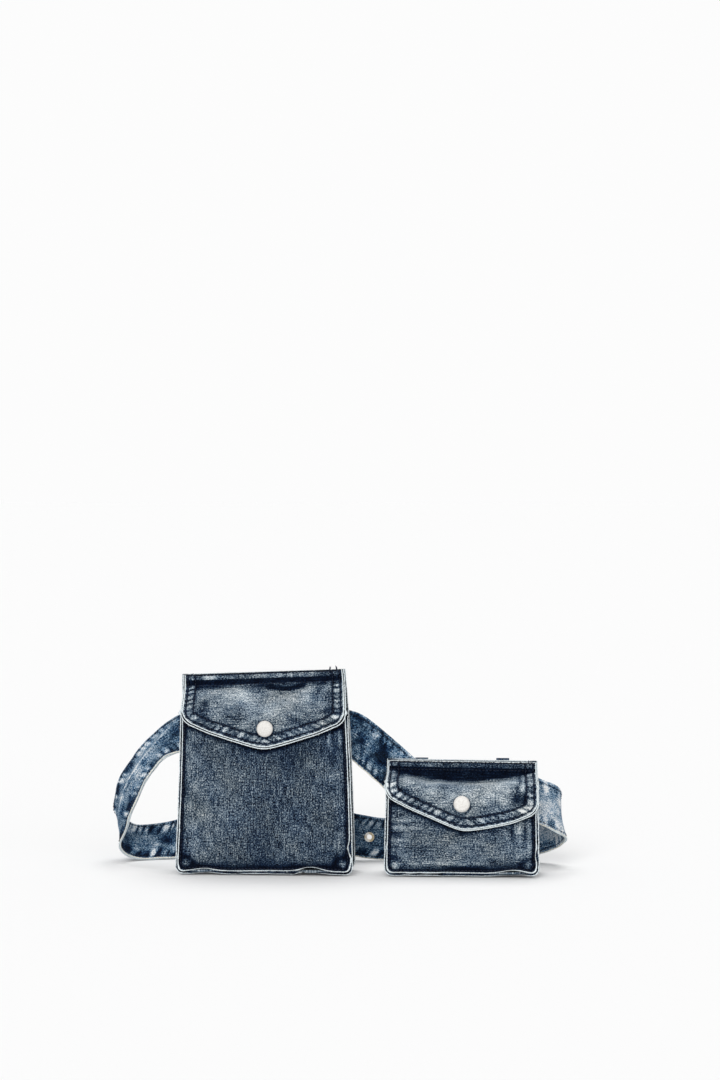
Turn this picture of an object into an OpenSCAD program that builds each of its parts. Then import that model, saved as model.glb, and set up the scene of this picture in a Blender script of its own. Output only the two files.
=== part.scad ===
// Denim waist pack: two snap-flap pouches that slide on one buckled belt.
// Millimetres, +Z up, pouch fronts face -Y. The origin is on the floor, under the middle of the whole pack.

/* [Big pouch] */
// Width across the base, seam edge to seam edge
big_w = 164; // [130:1:200]
// Width across the top of the back panel
big_top_w = 153; // [120:1:190]
// Height of the back panel
big_h = 182; // [160:1:230]
// Drop of the front panel's mouth edge below the top of the back panel
big_mouth_drop = 37; // [30:1:38]
// Depth of the pouch at the mouth edge
big_mouth = 20; // [16:1:30]
// Height of the top edge of the flap that is sewn flat to the back panel
big_band = 12; // [8:1:18]
// Width of the flap
big_flap_w = 150; // [110:1:180]
// Drop of the flap's side corners below its fold
big_flap_side = 32; // [26:1:40]
// Drop of the flap's middle point below its fold
big_flap_point = 56; // [50:1:66]
// Drop of the snap below the fold
big_snap_drop = 37; // [36:1:42]
// Height of the middle of the belt behind this pouch
belt_on_big = 128; // [90:1:150]
// Distance between the two belt loops
big_loop_pitch = 90; // [60:1:110]
// Free height inside a belt loop
big_loop_room = 43; // [42:1:60]
// Height of a belt loop's middle above the belt's middle
big_loop_lift = 0; // [0:0.5:3]

/* [Small pouch] */
// Width across the base, seam edge to seam edge
small_w = 142; // [110:1:180]
// Width across the top of the back panel
small_top_w = 139; // [105:1:175]
// Height of the back panel
small_h = 100; // [100:1:130]
// Drop of the front panel's mouth edge below the top of the back panel
small_mouth_drop = 22; // [16:1:24]
// Depth of the pouch at the mouth edge
small_mouth = 22; // [16:1:30]
// Height of the top edge of the flap that is sewn flat to the back panel
small_band = 9; // [6:1:14]
// Width of the flap
small_flap_w = 139; // [100:1:170]
// Drop of the flap's side corners below its fold
small_flap_side = 28; // [22:1:36]
// Drop of the flap's middle point below its fold
small_flap_point = 50; // [42:1:60]
// Drop of the snap below the fold
small_snap_drop = 26; // [25:1:32]
// Height of the middle of the belt behind this pouch
belt_on_small = 70; // [55:1:80]
// Distance between the two belt loops
small_loop_pitch = 75; // [50:1:95]
// Free height inside a belt loop
small_loop_room = 51; // [48:1:60]
// Height of a belt loop's middle above the belt's middle
small_loop_lift = 3.5; // [2:0.5:6]

/* [Cloth] */
// Thickness of one denim layer
cloth = 1.2; // [0.8:0.1:1.6]
// Depth of both pouches at the base
depth = 40; // [32:1:60]
// Width of the raw seam edge that stands outside the stitching
seam_edge = 4; // [2:0.5:7]
// Radius of the pouches' bottom corners at the stitching
corner_r = 5; // [4:1:20]
// Space between a closed flap and the front panel
flap_gap = 4; // [3.6:0.1:6]
// Depth of the turned hem at the mouth
mouth_hem = 6; // [4:0.5:6]

/* [Belt] */
// Width of the belt
belt_w = 40; // [32:1:40]
// Thickness of the folded belt
belt_t = 2.4; // [1.6:0.1:3]
// Clear distance from the pouches' backs to the buckle's heel bar
belt_gap = 54; // [40:1:90]
// Space between the two pouches at the base
pouch_gap = 28; // [24:1:60]
// Reach of the belt past the big pouch
reach_left = 70; // [56:1:90]
// Reach of the belt past the small pouch
reach_right = 20; // [17:1:50]
// Lean of the belt at its left turn, in degrees
turn_lean = 18; // [0:1:25]
// Belt loop width
loop_w = 12; // [8:1:18]
// Belt loop thickness
loop_t = 1.6; // [1:0.1:2.4]
// Length of each sewn end of a belt loop
loop_tab = 6; // [4:1:12]
// Play of the belt inside loops and keeper, on each side
slack = 0.4; // [0.3:0.1:0.8]

/* [Buckle and eyelets] */
// Radius of the buckle's wire
bar_r = 2; // [1.6:0.1:2.5]
// Length of the buckle from bar to bar
frame_len = 32; // [30:1:34]
// Free height inside the buckle
frame_room = 43; // [42:1:46]
// Radius of the prong's wire
prong_r = 1.2; // [0.9:0.1:1.4]
// Number of eyelets
eyelets = 6; // [4:1:7]
// Distance between eyelets
eyelet_pitch = 25; // [20:1:30]
// Radius of an eyelet's hole
eyelet_r = 2.5; // [2.4:0.1:3]
// Radius of an eyelet's flange
eyelet_rim = 4.7; // [4:0.1:6]
// Thickness of an eyelet's flange
eyelet_lip = 0.6; // [0.4:0.1:0.9]
// Width of the keeper
keeper_w = 10; // [6:1:16]

/* [Snaps] */
// Diameter of the snap cap
cap_d = 15; // [12:0.5:17]
// Height of the snap cap
cap_h = 2.2; // [1.4:0.1:3]
// Diameter of the socket under the flap
socket_d = 12; // [11:0.5:14]
// Diameter of the stud's base
stud_d = 11; // [9:0.5:13]
// Diameter of the post's disc inside the pouch
post_d = 10; // [8:0.5:12]

/* [Hidden] */
$fn = 64;
LEFT = -1;
RIGHT = 1;
end_cut = 1;

// Each pouch is one list of its own sizes, read by the functions below.
BIG = [big_w, big_top_w, big_h, big_mouth_drop, big_mouth, big_band, big_flap_w, big_flap_side, big_flap_point,
       big_snap_drop, belt_on_big, big_loop_pitch, big_loop_room, big_loop_lift];
SMALL = [small_w, small_top_w, small_h, small_mouth_drop, small_mouth, small_band, small_flap_w, small_flap_side,
         small_flap_point, small_snap_drop, belt_on_small, small_loop_pitch, small_loop_room, small_loop_lift];
function base_w(p) = p[0];
function top_w(p) = p[1];
function height(p) = p[2];
function hem_h(p) = p[2] - p[3];
function mouth(p) = p[4];
function fold_h(p) = p[2] - p[5];
function flap_w(p) = p[6];
function flap_side(p) = p[7];
function flap_point(p) = p[8];
function snap_h(p) = fold_h(p) - p[9];
function belt_h(p) = p[10];
function loop_pitch(p) = p[11];
function loop_room(p) = p[12];
function loop_lift(p) = p[13];

// Where the pouches stand: the belt's reach, the pouches and their gap fill the overall width.
overall_w = reach_left + big_w + pouch_gap + small_w + reach_right;
big_x = -overall_w / 2 + reach_left + big_w / 2;
small_x = overall_w / 2 - reach_right - small_w / 2;

// The buckle's heel bar, and the belt's layers measured outward from it.
layer_r = bar_r + slack + belt_t / 2;
tail_rise = layer_r + belt_t + eyelet_lip + slack;
keeper_t = loop_t;
keeper_out = tail_rise + belt_t / 2 + slack + keeper_t;
overall_d = depth + slack + belt_t + belt_gap + keeper_out;
front_y = -overall_d / 2;
front_run_y = front_y + depth + slack + belt_t / 2;
bar_y = overall_d / 2 - keeper_out;
frame_top = frame_room / 2 + bar_r;
buckle_z = frame_top + bar_r + 0.5;
floor_z = belt_w / 2 + 0.4;

// The eyelet on the prong lies in the sloping stretch of belt inside the buckle.
tail_in = 4;
tail_out = frame_len - 2;
tail_slope = atan((tail_rise + layer_r) / (tail_out - tail_in));
prong_at = 16;
prong_v = tail_rise - (prong_at - tail_in) * tan(tail_slope);
eyelets_on_tail = 2;
gap_eyelet = 10;
heel_x = big_x + big_w / 2 + gap_eyelet - prong_at - eyelets_on_tail * eyelet_pitch;
tip_x = heel_x + prong_at - eyelets_on_tail * eyelet_pitch - 33;
return_len = 34;
keeper_x = heel_x + prong_at - eyelets_on_tail * eyelet_pitch - 13;

// Small geometry helpers.
function unit(v) = v / norm(v);
function mix(a, b, t) = a + (b - a) * t;

// A closed outline with its corners rounded: each corner is [x, y, radius].
function corner_arc(a, b, c, r, steps = 6) =
    let (u = unit(a - b), v = unit(c - b), half = acos(u * v) / 2, reach = r / tan(half),
         centre = b + unit(u + v) * r / sin(half), from = b + u * reach - centre, to = b + v * reach - centre,
         start = atan2(from.y, from.x), turn = atan2(to.y, to.x) - start,
         sweep = turn > 180 ? turn - 360 : turn < -180 ? turn + 360 : turn)
    [for (i = [0 : steps]) centre + r * [cos(start + sweep * i / steps), sin(start + sweep * i / steps)]];
function flat(p) = [p[0], p[1]];
function rounded(corners) =
    let (n = len(corners))
    [for (i = [0 : n - 1])
        let (a = corners[(i + n - 1) % n], b = corners[i], c = corners[(i + 1) % n])
        each b[2] > 0 ? corner_arc(flat(a), flat(b), flat(c), b[2]) : [flat(b)]];

// A line of points moved sideways by d, with mitred corners.
function side_of(a, b) = let (u = unit(b - a)) [-u.y, u.x];
function beside(line, d) =
    let (n = len(line))
    [for (i = [0 : n - 1])
        let (a = side_of(line[max(0, i - 1)], line[max(1, i)]),
             b = side_of(line[min(n - 2, i)], line[min(n - 1, i + 1)]))
        line[i] + unit(a + b) * d / sqrt((1 + a * b) / 2)];
function strip(line, from, to) =
    let (far = beside(line, to), n = len(far))
    concat(beside(line, from), [for (i = [n - 1 : -1 : 0]) far[i]]);

// Extrusions of a front outline (x, z) through y, and of a side outline (y, z) through x.
module front_shape(outline, y0, y1) {
    translate([0, y1, 0]) rotate([90, 0, 0]) linear_extrude(y1 - y0) polygon(outline);
}
module side_shape(outline, width) {
    rotate([90, 0, 90]) linear_extrude(width, center = true) polygon(outline);
}

// Pouch geometry, in a frame on the floor under the middle of the pouch's front base edge.
function lean(p) = atan((depth - mouth(p)) / hem_h(p));
function face_y(p, z) = z * tan(lean(p));
function thick(p) = cloth / cos(lean(p));
function pouch_corners(p, grow, top) =
    let (base = base_w(p) / 2 - seam_edge + grow, taper = (base_w(p) - top_w(p)) / 2 / height(p),
         low = seam_edge - grow, r = max(corner_r + grow, 0.5))
    [[-base + taper * top, top, 0], [-base + taper * low, low, r], [base - taper * low, low, r],
     [base - taper * top, top, 0]];
function pouch_outline(p, grow, top) = rounded(pouch_corners(p, grow, top));

// The flap's middle line from its fold, over the mouth, down the front.
knee_rise = 3;
flap_roll = cloth + 0.2;
gusset_rise = 10;
flap_off = flap_gap + cloth;
function fold_y() = depth - 3 * cloth - slack - flap_roll;
function flap_y(p, z) = face_y(p, z) - flap_off / cos(lean(p));
function flap_line(p) =
    let (knee = hem_h(p) + knee_rise, foot = fold_h(p) - flap_point(p) - seam_edge)
    [[fold_y(), fold_h(p)], [flap_y(p, knee), knee], [flap_y(p, foot), foot]];
function flap_outline(p) =
    let (half = flap_w(p) / 2, side = fold_h(p) - flap_side(p), point = fold_h(p) - flap_point(p),
         top = fold_h(p) + flap_roll)
    rounded([[-half, top, 0], [-half, side, 9], [0, point, 14], [half, side, 9], [half, top, 0]]);

// Snap hardware stands on the front panel, along its outward normal.
barrel_r = 1.5;
barrel_fit = 0.06;
stud_base = 0.8;
stud_top = 3;
socket_low = stud_base + 0.3;
socket_r = 3.35;
cap_seat = flap_gap + 2 * cloth;
module at_snap(p) {
    translate([0, face_y(p, snap_h(p)), snap_h(p)]) rotate([90 - lean(p), 0, 0]) children();
}
module snap_hole(p) {
    at_snap(p) translate([0, 0, -3 * cloth]) cylinder(r = barrel_r + barrel_fit, h = cap_seat + 6 * cloth);
}

// Denim pieces of a pouch.
module front_panel(p) {
    t = thick(p);
    top = hem_h(p);
    low = top - mouth_hem;
    color("#4a5f7a") difference() {
        intersection() {
            front_shape(pouch_outline(p, seam_edge, top + end_cut), -depth, depth);
            union() {
                side_shape([[0, 0], [t, 0], [face_y(p, top) + t, top], [face_y(p, top), top]], base_w(p) + end_cut);
                side_shape([[face_y(p, low) + t / 2, low], [face_y(p, low) + 2 * t, low],
                            [face_y(p, top) + 2 * t, top], [face_y(p, top) + t / 2, top]],
                           top_w(p) - 4 * seam_edge);
            }
        }
        snap_hole(p);
    }
}

module gusset(p) {
    t = thick(p);
    top = hem_h(p);
    back = depth - cloth;
    back_top = top + gusset_rise;
    wedge = [[t, 0], [face_y(p, top) + t, top], [back, back_top], [back, 0]];
    front_lip = [[t, 0], [2 * t, 0], [face_y(p, top) + 2 * t, top], [face_y(p, top) + t, top]];
    back_lip = [[back - cloth, 0], [back, 0], [back, back_top], [back - cloth, back_top]];
    color("#51657f") difference() {
        intersection() {
            front_shape(pouch_outline(p, seam_edge, height(p)), -depth, depth);
            side_shape(wedge, base_w(p) + end_cut);
            union() {
                front_shape(pouch_outline(p, 0, height(p)), 0, depth);
                side_shape(front_lip, base_w(p) + end_cut);
                side_shape(back_lip, base_w(p) + end_cut);
            }
        }
        front_shape(pouch_outline(p, -cloth, height(p) + end_cut), -depth, depth);
    }
}

module back_panel(p) {
    color("#45597a") front_shape(pouch_outline(p, seam_edge, height(p)), depth - cloth, depth);
}

module flap_band(p) {
    half = flap_w(p) / 2;
    low = fold_h(p) - 2 * cloth;
    outline = [[-half, low], [half, low], [half, height(p)], [-half, height(p)]];
    color("#33486b") front_shape(outline, depth - 3 * cloth, depth - cloth);
}

module flap_outer(p) {
    line = flap_line(p);
    color("#5f7590") difference() {
        intersection() {
            front_shape(flap_outline(p), -depth, 2 * depth);
            union() {
                side_shape(strip(line, 0, -cloth), flap_w(p) + end_cut);
                translate([0, line[0].x, line[0].y]) rotate([0, 90, 0])
                    cylinder(r = flap_roll, h = flap_w(p) - end_cut, center = true);
            }
        }
        snap_hole(p);
    }
}

module flap_facing(p) {
    line = flap_line(p);
    start = mix(line[0], line[1], 2 * cloth / norm(line[1] - line[0]));
    color("#51657f") difference() {
        intersection() {
            front_shape(flap_outline(p), -depth, 2 * depth);
            side_shape(strip([start, line[1], line[2]], cloth, 0), flap_w(p) + end_cut);
        }
        snap_hole(p);
    }
}

// A belt loop: a strip sewn to the back at both ends that stands off by the belt's thickness.
module belt_loop(p, side) {
    gap = belt_t + 2 * slack;
    low = belt_h(p) + loop_lift(p) - loop_room(p) / 2;
    high = low + loop_room(p);
    hug = [[0, low - loop_tab], [0, low], [gap, low], [gap, high], [0, high], [0, high + loop_tab]];
    out = beside(hug, -loop_t);
    outline = concat(hug, [for (i = [len(out) - 1 : -1 : 0]) out[i]]);
    color("#2f4464") translate([side * loop_pitch(p) / 2, depth, 0]) side_shape(outline, loop_w);
}

// Metal snap pieces, turned about the snap's axis.
module snap_post(p) {
    r = post_d / 2;
    color("#b9bcc0") at_snap(p) rotate_extrude()
        polygon([[0, -cloth - 0.9], [r - 0.7, -cloth - 0.9], [r, -cloth - 0.5], [r, -cloth], [barrel_r, -cloth],
                 [barrel_r, stud_top - 1.2], [0, stud_top - 1.2]]);
}

module snap_stud(p) {
    r = stud_d / 2;
    bore = barrel_r + barrel_fit;
    color("#c4c7ca") at_snap(p) rotate_extrude()
        polygon([[bore, 0], [r, 0], [r, stud_base - 0.4], [r - 0.4, stud_base], [socket_r - 0.25, stud_base],
                 [2.3, stud_top - 0.4], [1.9, stud_top], [0, stud_top], [0, stud_top - 1.1], [bore, stud_top - 1.1]]);
}

module snap_socket(p) {
    r = socket_d / 2;
    bore = barrel_r + barrel_fit;
    groove_low = socket_low + 0.5;
    groove_high = groove_low + 0.8;
    roof = flap_gap - 0.6;
    color("#b4b7ba") at_snap(p) rotate_extrude()
        polygon([[bore, roof], [bore, flap_gap], [r, flap_gap], [r, socket_low + 0.5], [r - 0.5, socket_low],
                 [socket_r, socket_low], [socket_r, groove_low], [socket_r + 0.6, groove_low],
                 [socket_r + 0.6, groove_high], [socket_r, groove_high], [socket_r, roof]]);
}

// The wire ring that grips the stud lies in the socket's groove.
module snap_spring(p) {
    wire = 0.3;
    color("#8f9397") at_snap(p) translate([0, 0, socket_low + 0.9]) rotate_extrude()
        translate([socket_r + 0.25, 0]) circle(r = wire, $fn = 16);
}

module snap_cap(p) {
    r = cap_d / 2;
    color("#e9e7e3") at_snap(p) rotate_extrude()
        polygon([[0, flap_gap - 0.5], [barrel_r, flap_gap - 0.5], [barrel_r, cap_seat], [r - 0.8, cap_seat],
                 [r, cap_seat + 0.6], [r - 0.1, cap_seat + 1], [r - 0.7, cap_seat + cap_h - 0.6],
                 [r - 1.8, cap_seat + cap_h - 0.2], [0, cap_seat + cap_h]]);
}

// The belt's course: control points [x, y, z, lean], joined by a smooth curve.
run_left = big_x - big_loop_pitch / 2 - 22;
ramp_top = big_x + big_loop_pitch / 2 + 14;
ramp_low = small_x - small_loop_pitch / 2 + 4;
run_right = small_x + small_loop_pitch / 2 + 10;
turn_bow = 2.2;
left_x = -overall_w / 2 + belt_t / 2 + belt_w / 2 * sin(turn_lean * 1.2) + turn_bow;
right_x = overall_w / 2 - belt_t / 2 - turn_bow;
inner_y = bar_y - layer_r;
outer_y = bar_y + layer_r;
left_edge = big_x - big_w / 2;
right_edge = small_x + small_w / 2;
big_right = big_x + big_w / 2;
function left_at(t) = mix(left_edge, left_x, t);
function right_at(t) = mix(right_edge, right_x, t);
function deep_left(t) = mix(front_run_y, outer_y, t);
function deep_right(t) = mix(front_run_y, inner_y, t);
function climb(t) = mix(floor_z, belt_on_big, t);
function fall(t) = mix(belt_on_small, floor_z, t);
function ramp(t, drop) = [mix(ramp_top, ramp_low, t), front_run_y, mix(belt_on_big, belt_on_small, drop), 0];
main_course = [
    [heel_x - 4, outer_y, buckle_z, 0],
    [heel_x - 30, outer_y, buckle_z, 0],
    [tip_x + 6, outer_y, buckle_z, 0],
    [tip_x - 8, outer_y, buckle_z - 0.5, 0],
    [left_edge - 4, outer_y, floor_z + 0.6, turn_lean * 0.5],
    [left_edge - 26, outer_y - 2, floor_z, turn_lean],
    [left_at(0.8), outer_y - 11, floor_z + 2, turn_lean * 1.2],
    [left_x, deep_left(0.6), floor_z + 15, turn_lean],
    [left_at(0.86), deep_left(0.4), climb(0.36), -turn_lean * 0.3],
    [left_at(0.6), deep_left(0.3), climb(0.64), -turn_lean * 1.7],
    [left_at(0.28), deep_left(0.26), climb(0.87), -turn_lean * 2.3],
    [left_edge + 1, front_run_y + 11, belt_on_big - 2, -turn_lean * 1.4],
    [run_left, front_run_y + 1.6, belt_on_big, -turn_lean * 0.15],
    [run_left + 9, front_run_y, belt_on_big, 0],
    [run_left + 20, front_run_y, belt_on_big, 0],
    [big_x, front_run_y, belt_on_big, 0],
    [ramp_top - 16, front_run_y, belt_on_big, 0],
    [ramp_top, front_run_y, belt_on_big, 0],
    ramp(0.25, 0.12),
    ramp(0.5, 0.44),
    ramp(0.75, 0.79),
    ramp(1, 1),
    [ramp_low + 16, front_run_y, belt_on_small, 0],
    [small_x, front_run_y, belt_on_small, 0],
    [run_right - 14, front_run_y, belt_on_small, 0],
    [run_right, front_run_y, belt_on_small, 0],
    [right_edge - 15, front_run_y + 0.6, belt_on_small - 1, 0],
    [right_edge - 5, front_run_y + 2.4, belt_on_small - 4, 0],
    [right_at(0.66), deep_right(0.2), belt_on_small - 12, 0],
    [right_x, deep_right(0.5), fall(0.48), 0],
    [right_at(0.55), deep_right(0.84), fall(0.72), 0],
    [right_edge - 10, inner_y - 1, fall(0.9), 0],
    [right_edge - 42, inner_y, floor_z, 0],
    [small_x, inner_y, floor_z, 0],
    [big_right + pouch_gap, inner_y, floor_z, 0],
    [big_right, inner_y, mix(floor_z, buckle_z, 0.6), 0],
    [heel_x + frame_len + 12, inner_y, buckle_z, 0],
    [heel_x + frame_len + 3, inner_y, buckle_z, 0]];

// Catmull-Rom between the middle two of four points.
function between(a, b, c, d, t) =
    0.5 * (2 * b + (c - a) * t + (2 * a - 5 * b + 4 * c - d) * t * t + (3 * b - a - 3 * c + d) * t * t * t);
steps = 5;
function smooth(points) =
    let (n = len(points))
    [for (i = [0 : n - 2], k = [0 : steps - 1])
        between(points[max(0, i - 1)], points[i], points[i + 1], points[min(n - 1, i + 2)], k / steps)];

// The folded-back end, round the heel bar, and the tail that passes through the buckle.
function from_heel(u, v) = [heel_x + u, bar_y + v, buckle_z, 0];
return_v = layer_r - belt_t - 0.3;
return_end = [for (k = [0 : 4]) from_heel(mix(-return_len, -15, k / 4), return_v)];
return_bend = [for (k = [1 : 6]) let (t = k / 7) from_heel(mix(-15, 0, t), mix(return_v, -layer_r, t * t * (3 - 2 * t)))];
heel_bend = [for (k = [0 : 12]) from_heel(layer_r * sin(15 * k), -layer_r * cos(15 * k))];
tail_slope_run = [for (u = [tail_out, prong_at + eyelet_rim, prong_at - eyelet_rim, tail_in])
    from_heel(u, tail_rise - (u - tail_in) * tan(tail_slope))];
tip_len = 16;
tail_run = [for (k = [0 : 8]) [mix(heel_x - 2, tip_x + tip_len, k / 8), bar_y + tail_rise, buckle_z, 0]];
tip_end = [for (k = [1 : 7]) [mix(tip_x + tip_len, tip_x, sin(90 * k / 7)), bar_y + tail_rise, buckle_z, 0]];
course = concat(return_end, return_bend, heel_bend, smooth(main_course), tail_slope_run, tail_run, tip_end);
function place(q) = [q[0], q[1], q[2]];
function half_width(i) =
    let (from_tip = len(course) - 1 - i)
    from_tip < len(tip_end) ? belt_w / 2 * max(0.3, cos(90 * (len(tip_end) - from_tip) / len(tip_end)))
                            : belt_w / 2;

// One ring of four corners across the belt, square to its course, leaned about it.
function ring(i) =
    let (n = len(course), here = place(course[i]),
         ahead = unit(place(course[min(n - 1, i + 1)]) - place(course[max(0, i - 1)])),
         up = unit([0, 0, 1] - ahead * ahead.z), out = cross(ahead, up), tilt = course[i][3],
         across = (up * cos(tilt) + out * sin(tilt)) * half_width(i),
         through = (out * cos(tilt) - up * sin(tilt)) * belt_t / 2)
    [here + across + through, here - across + through, here - across - through, here + across - through];
module band() {
    n = len(course);
    points = [for (i = [0 : n - 1]) each ring(i)];
    sides = [for (i = [0 : n - 2], k = [0 : 3])
        let (a = 4 * i + k, b = 4 * i + (k + 1) % 4) each [[a, b, a + 4], [b, b + 4, a + 4]]];
    ends = [[0, 3, 2], [0, 2, 1], [4 * n - 4, 4 * n - 3, 4 * n - 2], [4 * n - 4, 4 * n - 2, 4 * n - 1]];
    polyhedron(points, concat(sides, ends));
}

// Eyelets: the one on the prong is tilted with the belt, those past it lie on the tail, the rest on the run.
function eyelet_x(i) = heel_x + prong_at + (i - eyelets_on_tail) * eyelet_pitch;
function run_z(x) =
    let (near = heel_x + frame_len + 12, far = big_right + pouch_gap, edge = mix(floor_z, buckle_z, 0.6))
    x <= near ? buckle_z : x <= big_right ? mix(buckle_z, edge, (x - near) / (big_right - near))
              : x <= far ? mix(edge, floor_z, (x - big_right) / pouch_gap) : floor_z;
module at_eyelet(i) {
    x = eyelet_x(i);
    on_tail = i < eyelets_on_tail;
    y = i == eyelets_on_tail ? bar_y + prong_v : on_tail ? bar_y + tail_rise : inner_y;
    translate([x, y, on_tail ? buckle_z : run_z(x)])
        rotate([0, 0, i == eyelets_on_tail ? -tail_slope : 0]) rotate([-90, 0, 0]) children();
}

prong_slot = 6;
module belt_strap() {
    color("#3c5273") difference() {
        band();
        for (i = [0 : eyelets - 1])
            at_eyelet(i) cylinder(r = eyelet_r + eyelet_lip, h = 2 * belt_t, center = true);
        translate([heel_x - layer_r - 5, bar_y - layer_r - belt_t, buckle_z - prong_slot / 2])
            cube([2 * layer_r + belt_t + 5, 2 * layer_r + 1.5 * belt_t + 0.1, prong_slot]);
    }
}

module belt_eyelets() {
    half = belt_t / 2;
    color("#c9c6c0") for (i = [0 : eyelets - 1])
        at_eyelet(i) rotate_extrude()
            polygon([[eyelet_r, -half - eyelet_lip], [eyelet_rim, -half - eyelet_lip], [eyelet_rim, -half],
                     [eyelet_r + eyelet_lip - 0.05, -half], [eyelet_r + eyelet_lip - 0.05, half],
                     [eyelet_rim, half], [eyelet_rim, half + eyelet_lip], [eyelet_r, half + eyelet_lip]]);
}

// The keeper hugs the belt and its tail.
module belt_keeper() {
    low = layer_r - belt_t / 2 - slack;
    high = tail_rise + belt_t / 2 + slack;
    tall = belt_w + 2 * slack;
    color("#33486b") translate([keeper_x - keeper_w / 2, bar_y, buckle_z]) difference() {
        translate([0, low - keeper_t, -tall / 2 - keeper_t])
            cube([keeper_w, high - low + 2 * keeper_t, tall + 2 * keeper_t]);
        translate([-end_cut, low, -tall / 2]) cube([keeper_w + 2 * end_cut, high - low, tall]);
    }
}

// The buckle: a wire frame with round corners. Its heel bar is the prong's axle.
module buckle_frame() {
    up = frame_top;
    r = up - belt_w / 2;
    color("#bfc1c4") translate([heel_x, bar_y, buckle_z]) {
        for (x = [0, frame_len])
            translate([x, 0, -up + r]) cylinder(r = bar_r, h = 2 * (up - r));
        for (z = [-up, up])
            translate([r, 0, z]) rotate([0, 90, 0]) cylinder(r = bar_r, h = frame_len - 2 * r);
        for (x = [0, 1], z = [0, 1])
            translate([x ? frame_len - r : r, 0, z ? up - r : r - up]) rotate([90, 0, 0])
                rotate([0, 0, x ? (z ? 0 : 270) : (z ? 90 : 180)])
                rotate_extrude(angle = 90) translate([r, 0]) circle(r = bar_r);
    }
}

// The prong: stamped from plate, a ring on the heel bar, a shank cranked through the eyelet, a tip on the far bar.
prong_ring = 3.2;
prong_shift = 0.4;
prong_low = [prong_at + prong_shift - 1.9, prong_v - 5];
prong_high = prong_low + [3.3, 8.7];
prong_rest = [frame_len, bar_r + prong_r + 0.1];
prong_tip = prong_rest + [3.5, -0.4];
prong_line = [[bar_r + 0.6, 0], prong_low, prong_high, prong_rest, prong_tip];
module buckle_prong() {
    color("#c8cacc") translate([heel_x, bar_y, buckle_z - prong_ring / 2]) linear_extrude(prong_ring) difference() {
        union() {
            circle(r = bar_r + 2);
            polygon(strip(prong_line, -prong_r, prong_r));
        }
        circle(r = bar_r + 0.08);
    }
}

module big() {
    translate([big_x, front_y, 0]) children();
}
module small() {
    translate([small_x, front_y, 0]) children();
}

belt_strap();
belt_eyelets();
belt_keeper();
buckle_frame();
buckle_prong();
big() front_panel(BIG);  // big_front_panel
big() gusset(BIG);  // big_gusset
big() back_panel(BIG);  // big_back_panel
big() flap_band(BIG);  // big_flap_band
big() flap_outer(BIG);  // big_flap_outer
big() flap_facing(BIG);  // big_flap_facing
big() belt_loop(BIG, LEFT);  // big_belt_loop_left
big() belt_loop(BIG, RIGHT);  // big_belt_loop_right
big() snap_post(BIG);  // big_snap_post
big() snap_stud(BIG);  // big_snap_stud
big() snap_socket(BIG);  // big_snap_socket
big() snap_spring(BIG);  // big_snap_spring
big() snap_cap(BIG);  // big_snap_cap
small() front_panel(SMALL);  // small_front_panel
small() gusset(SMALL);  // small_gusset
small() back_panel(SMALL);  // small_back_panel
small() flap_band(SMALL);  // small_flap_band
small() flap_outer(SMALL);  // small_flap_outer
small() flap_facing(SMALL);  // small_flap_facing
small() belt_loop(SMALL, LEFT);  // small_belt_loop_left
small() belt_loop(SMALL, RIGHT);  // small_belt_loop_right
small() snap_post(SMALL);  // small_snap_post
small() snap_stud(SMALL);  // small_snap_stud
small() snap_socket(SMALL);  // small_snap_socket
small() snap_spring(SMALL);  // small_snap_spring
small() snap_cap(SMALL);  // small_snap_cap
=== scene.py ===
# %% [markdown]
# A washed denim waist pack: a tall and a low pouch with snap flaps, hung on one belt. The CAD model is the frame:
# it says where each piece is and what moves. A CAD solid never looks like cloth, so every cloth piece is made
# again here with seams, stitches and frayed edges. The metal pieces are right as they are and keep their CAD
# shape.

# %% Load the frame
import math
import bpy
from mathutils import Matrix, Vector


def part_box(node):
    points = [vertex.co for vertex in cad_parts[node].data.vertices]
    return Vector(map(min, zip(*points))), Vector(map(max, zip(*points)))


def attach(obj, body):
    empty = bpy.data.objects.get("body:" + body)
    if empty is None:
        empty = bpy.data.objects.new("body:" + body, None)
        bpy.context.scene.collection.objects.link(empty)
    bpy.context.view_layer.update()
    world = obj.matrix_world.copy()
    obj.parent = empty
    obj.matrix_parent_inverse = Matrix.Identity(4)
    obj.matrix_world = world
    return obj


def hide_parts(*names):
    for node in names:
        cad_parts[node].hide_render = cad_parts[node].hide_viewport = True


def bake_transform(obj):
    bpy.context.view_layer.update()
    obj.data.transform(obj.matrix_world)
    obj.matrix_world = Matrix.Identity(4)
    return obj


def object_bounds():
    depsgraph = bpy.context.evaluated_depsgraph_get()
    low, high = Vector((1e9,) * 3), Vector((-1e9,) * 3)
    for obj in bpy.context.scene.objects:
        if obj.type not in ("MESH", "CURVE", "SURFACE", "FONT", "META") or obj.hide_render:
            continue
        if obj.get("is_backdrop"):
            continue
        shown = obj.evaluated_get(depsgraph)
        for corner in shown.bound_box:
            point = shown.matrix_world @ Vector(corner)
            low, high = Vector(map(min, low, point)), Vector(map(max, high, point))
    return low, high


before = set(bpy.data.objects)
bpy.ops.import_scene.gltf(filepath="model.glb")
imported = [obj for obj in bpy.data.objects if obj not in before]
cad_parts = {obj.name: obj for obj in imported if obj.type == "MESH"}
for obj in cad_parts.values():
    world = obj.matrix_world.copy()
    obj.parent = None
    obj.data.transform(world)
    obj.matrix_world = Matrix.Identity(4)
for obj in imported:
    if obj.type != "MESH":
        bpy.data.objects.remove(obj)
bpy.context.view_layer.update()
from types import SimpleNamespace
import bpy
import numpy as np
from mathutils import Vector

# %% [markdown]
# The photograph was taken from a little to the right and a little above, with a long lens, and the pack sits low
# in a tall picture. A lens shift would give that framing, but it also moves every other view. So the camera
# stands 2.2 m away and aims at a point above the pack.

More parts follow.
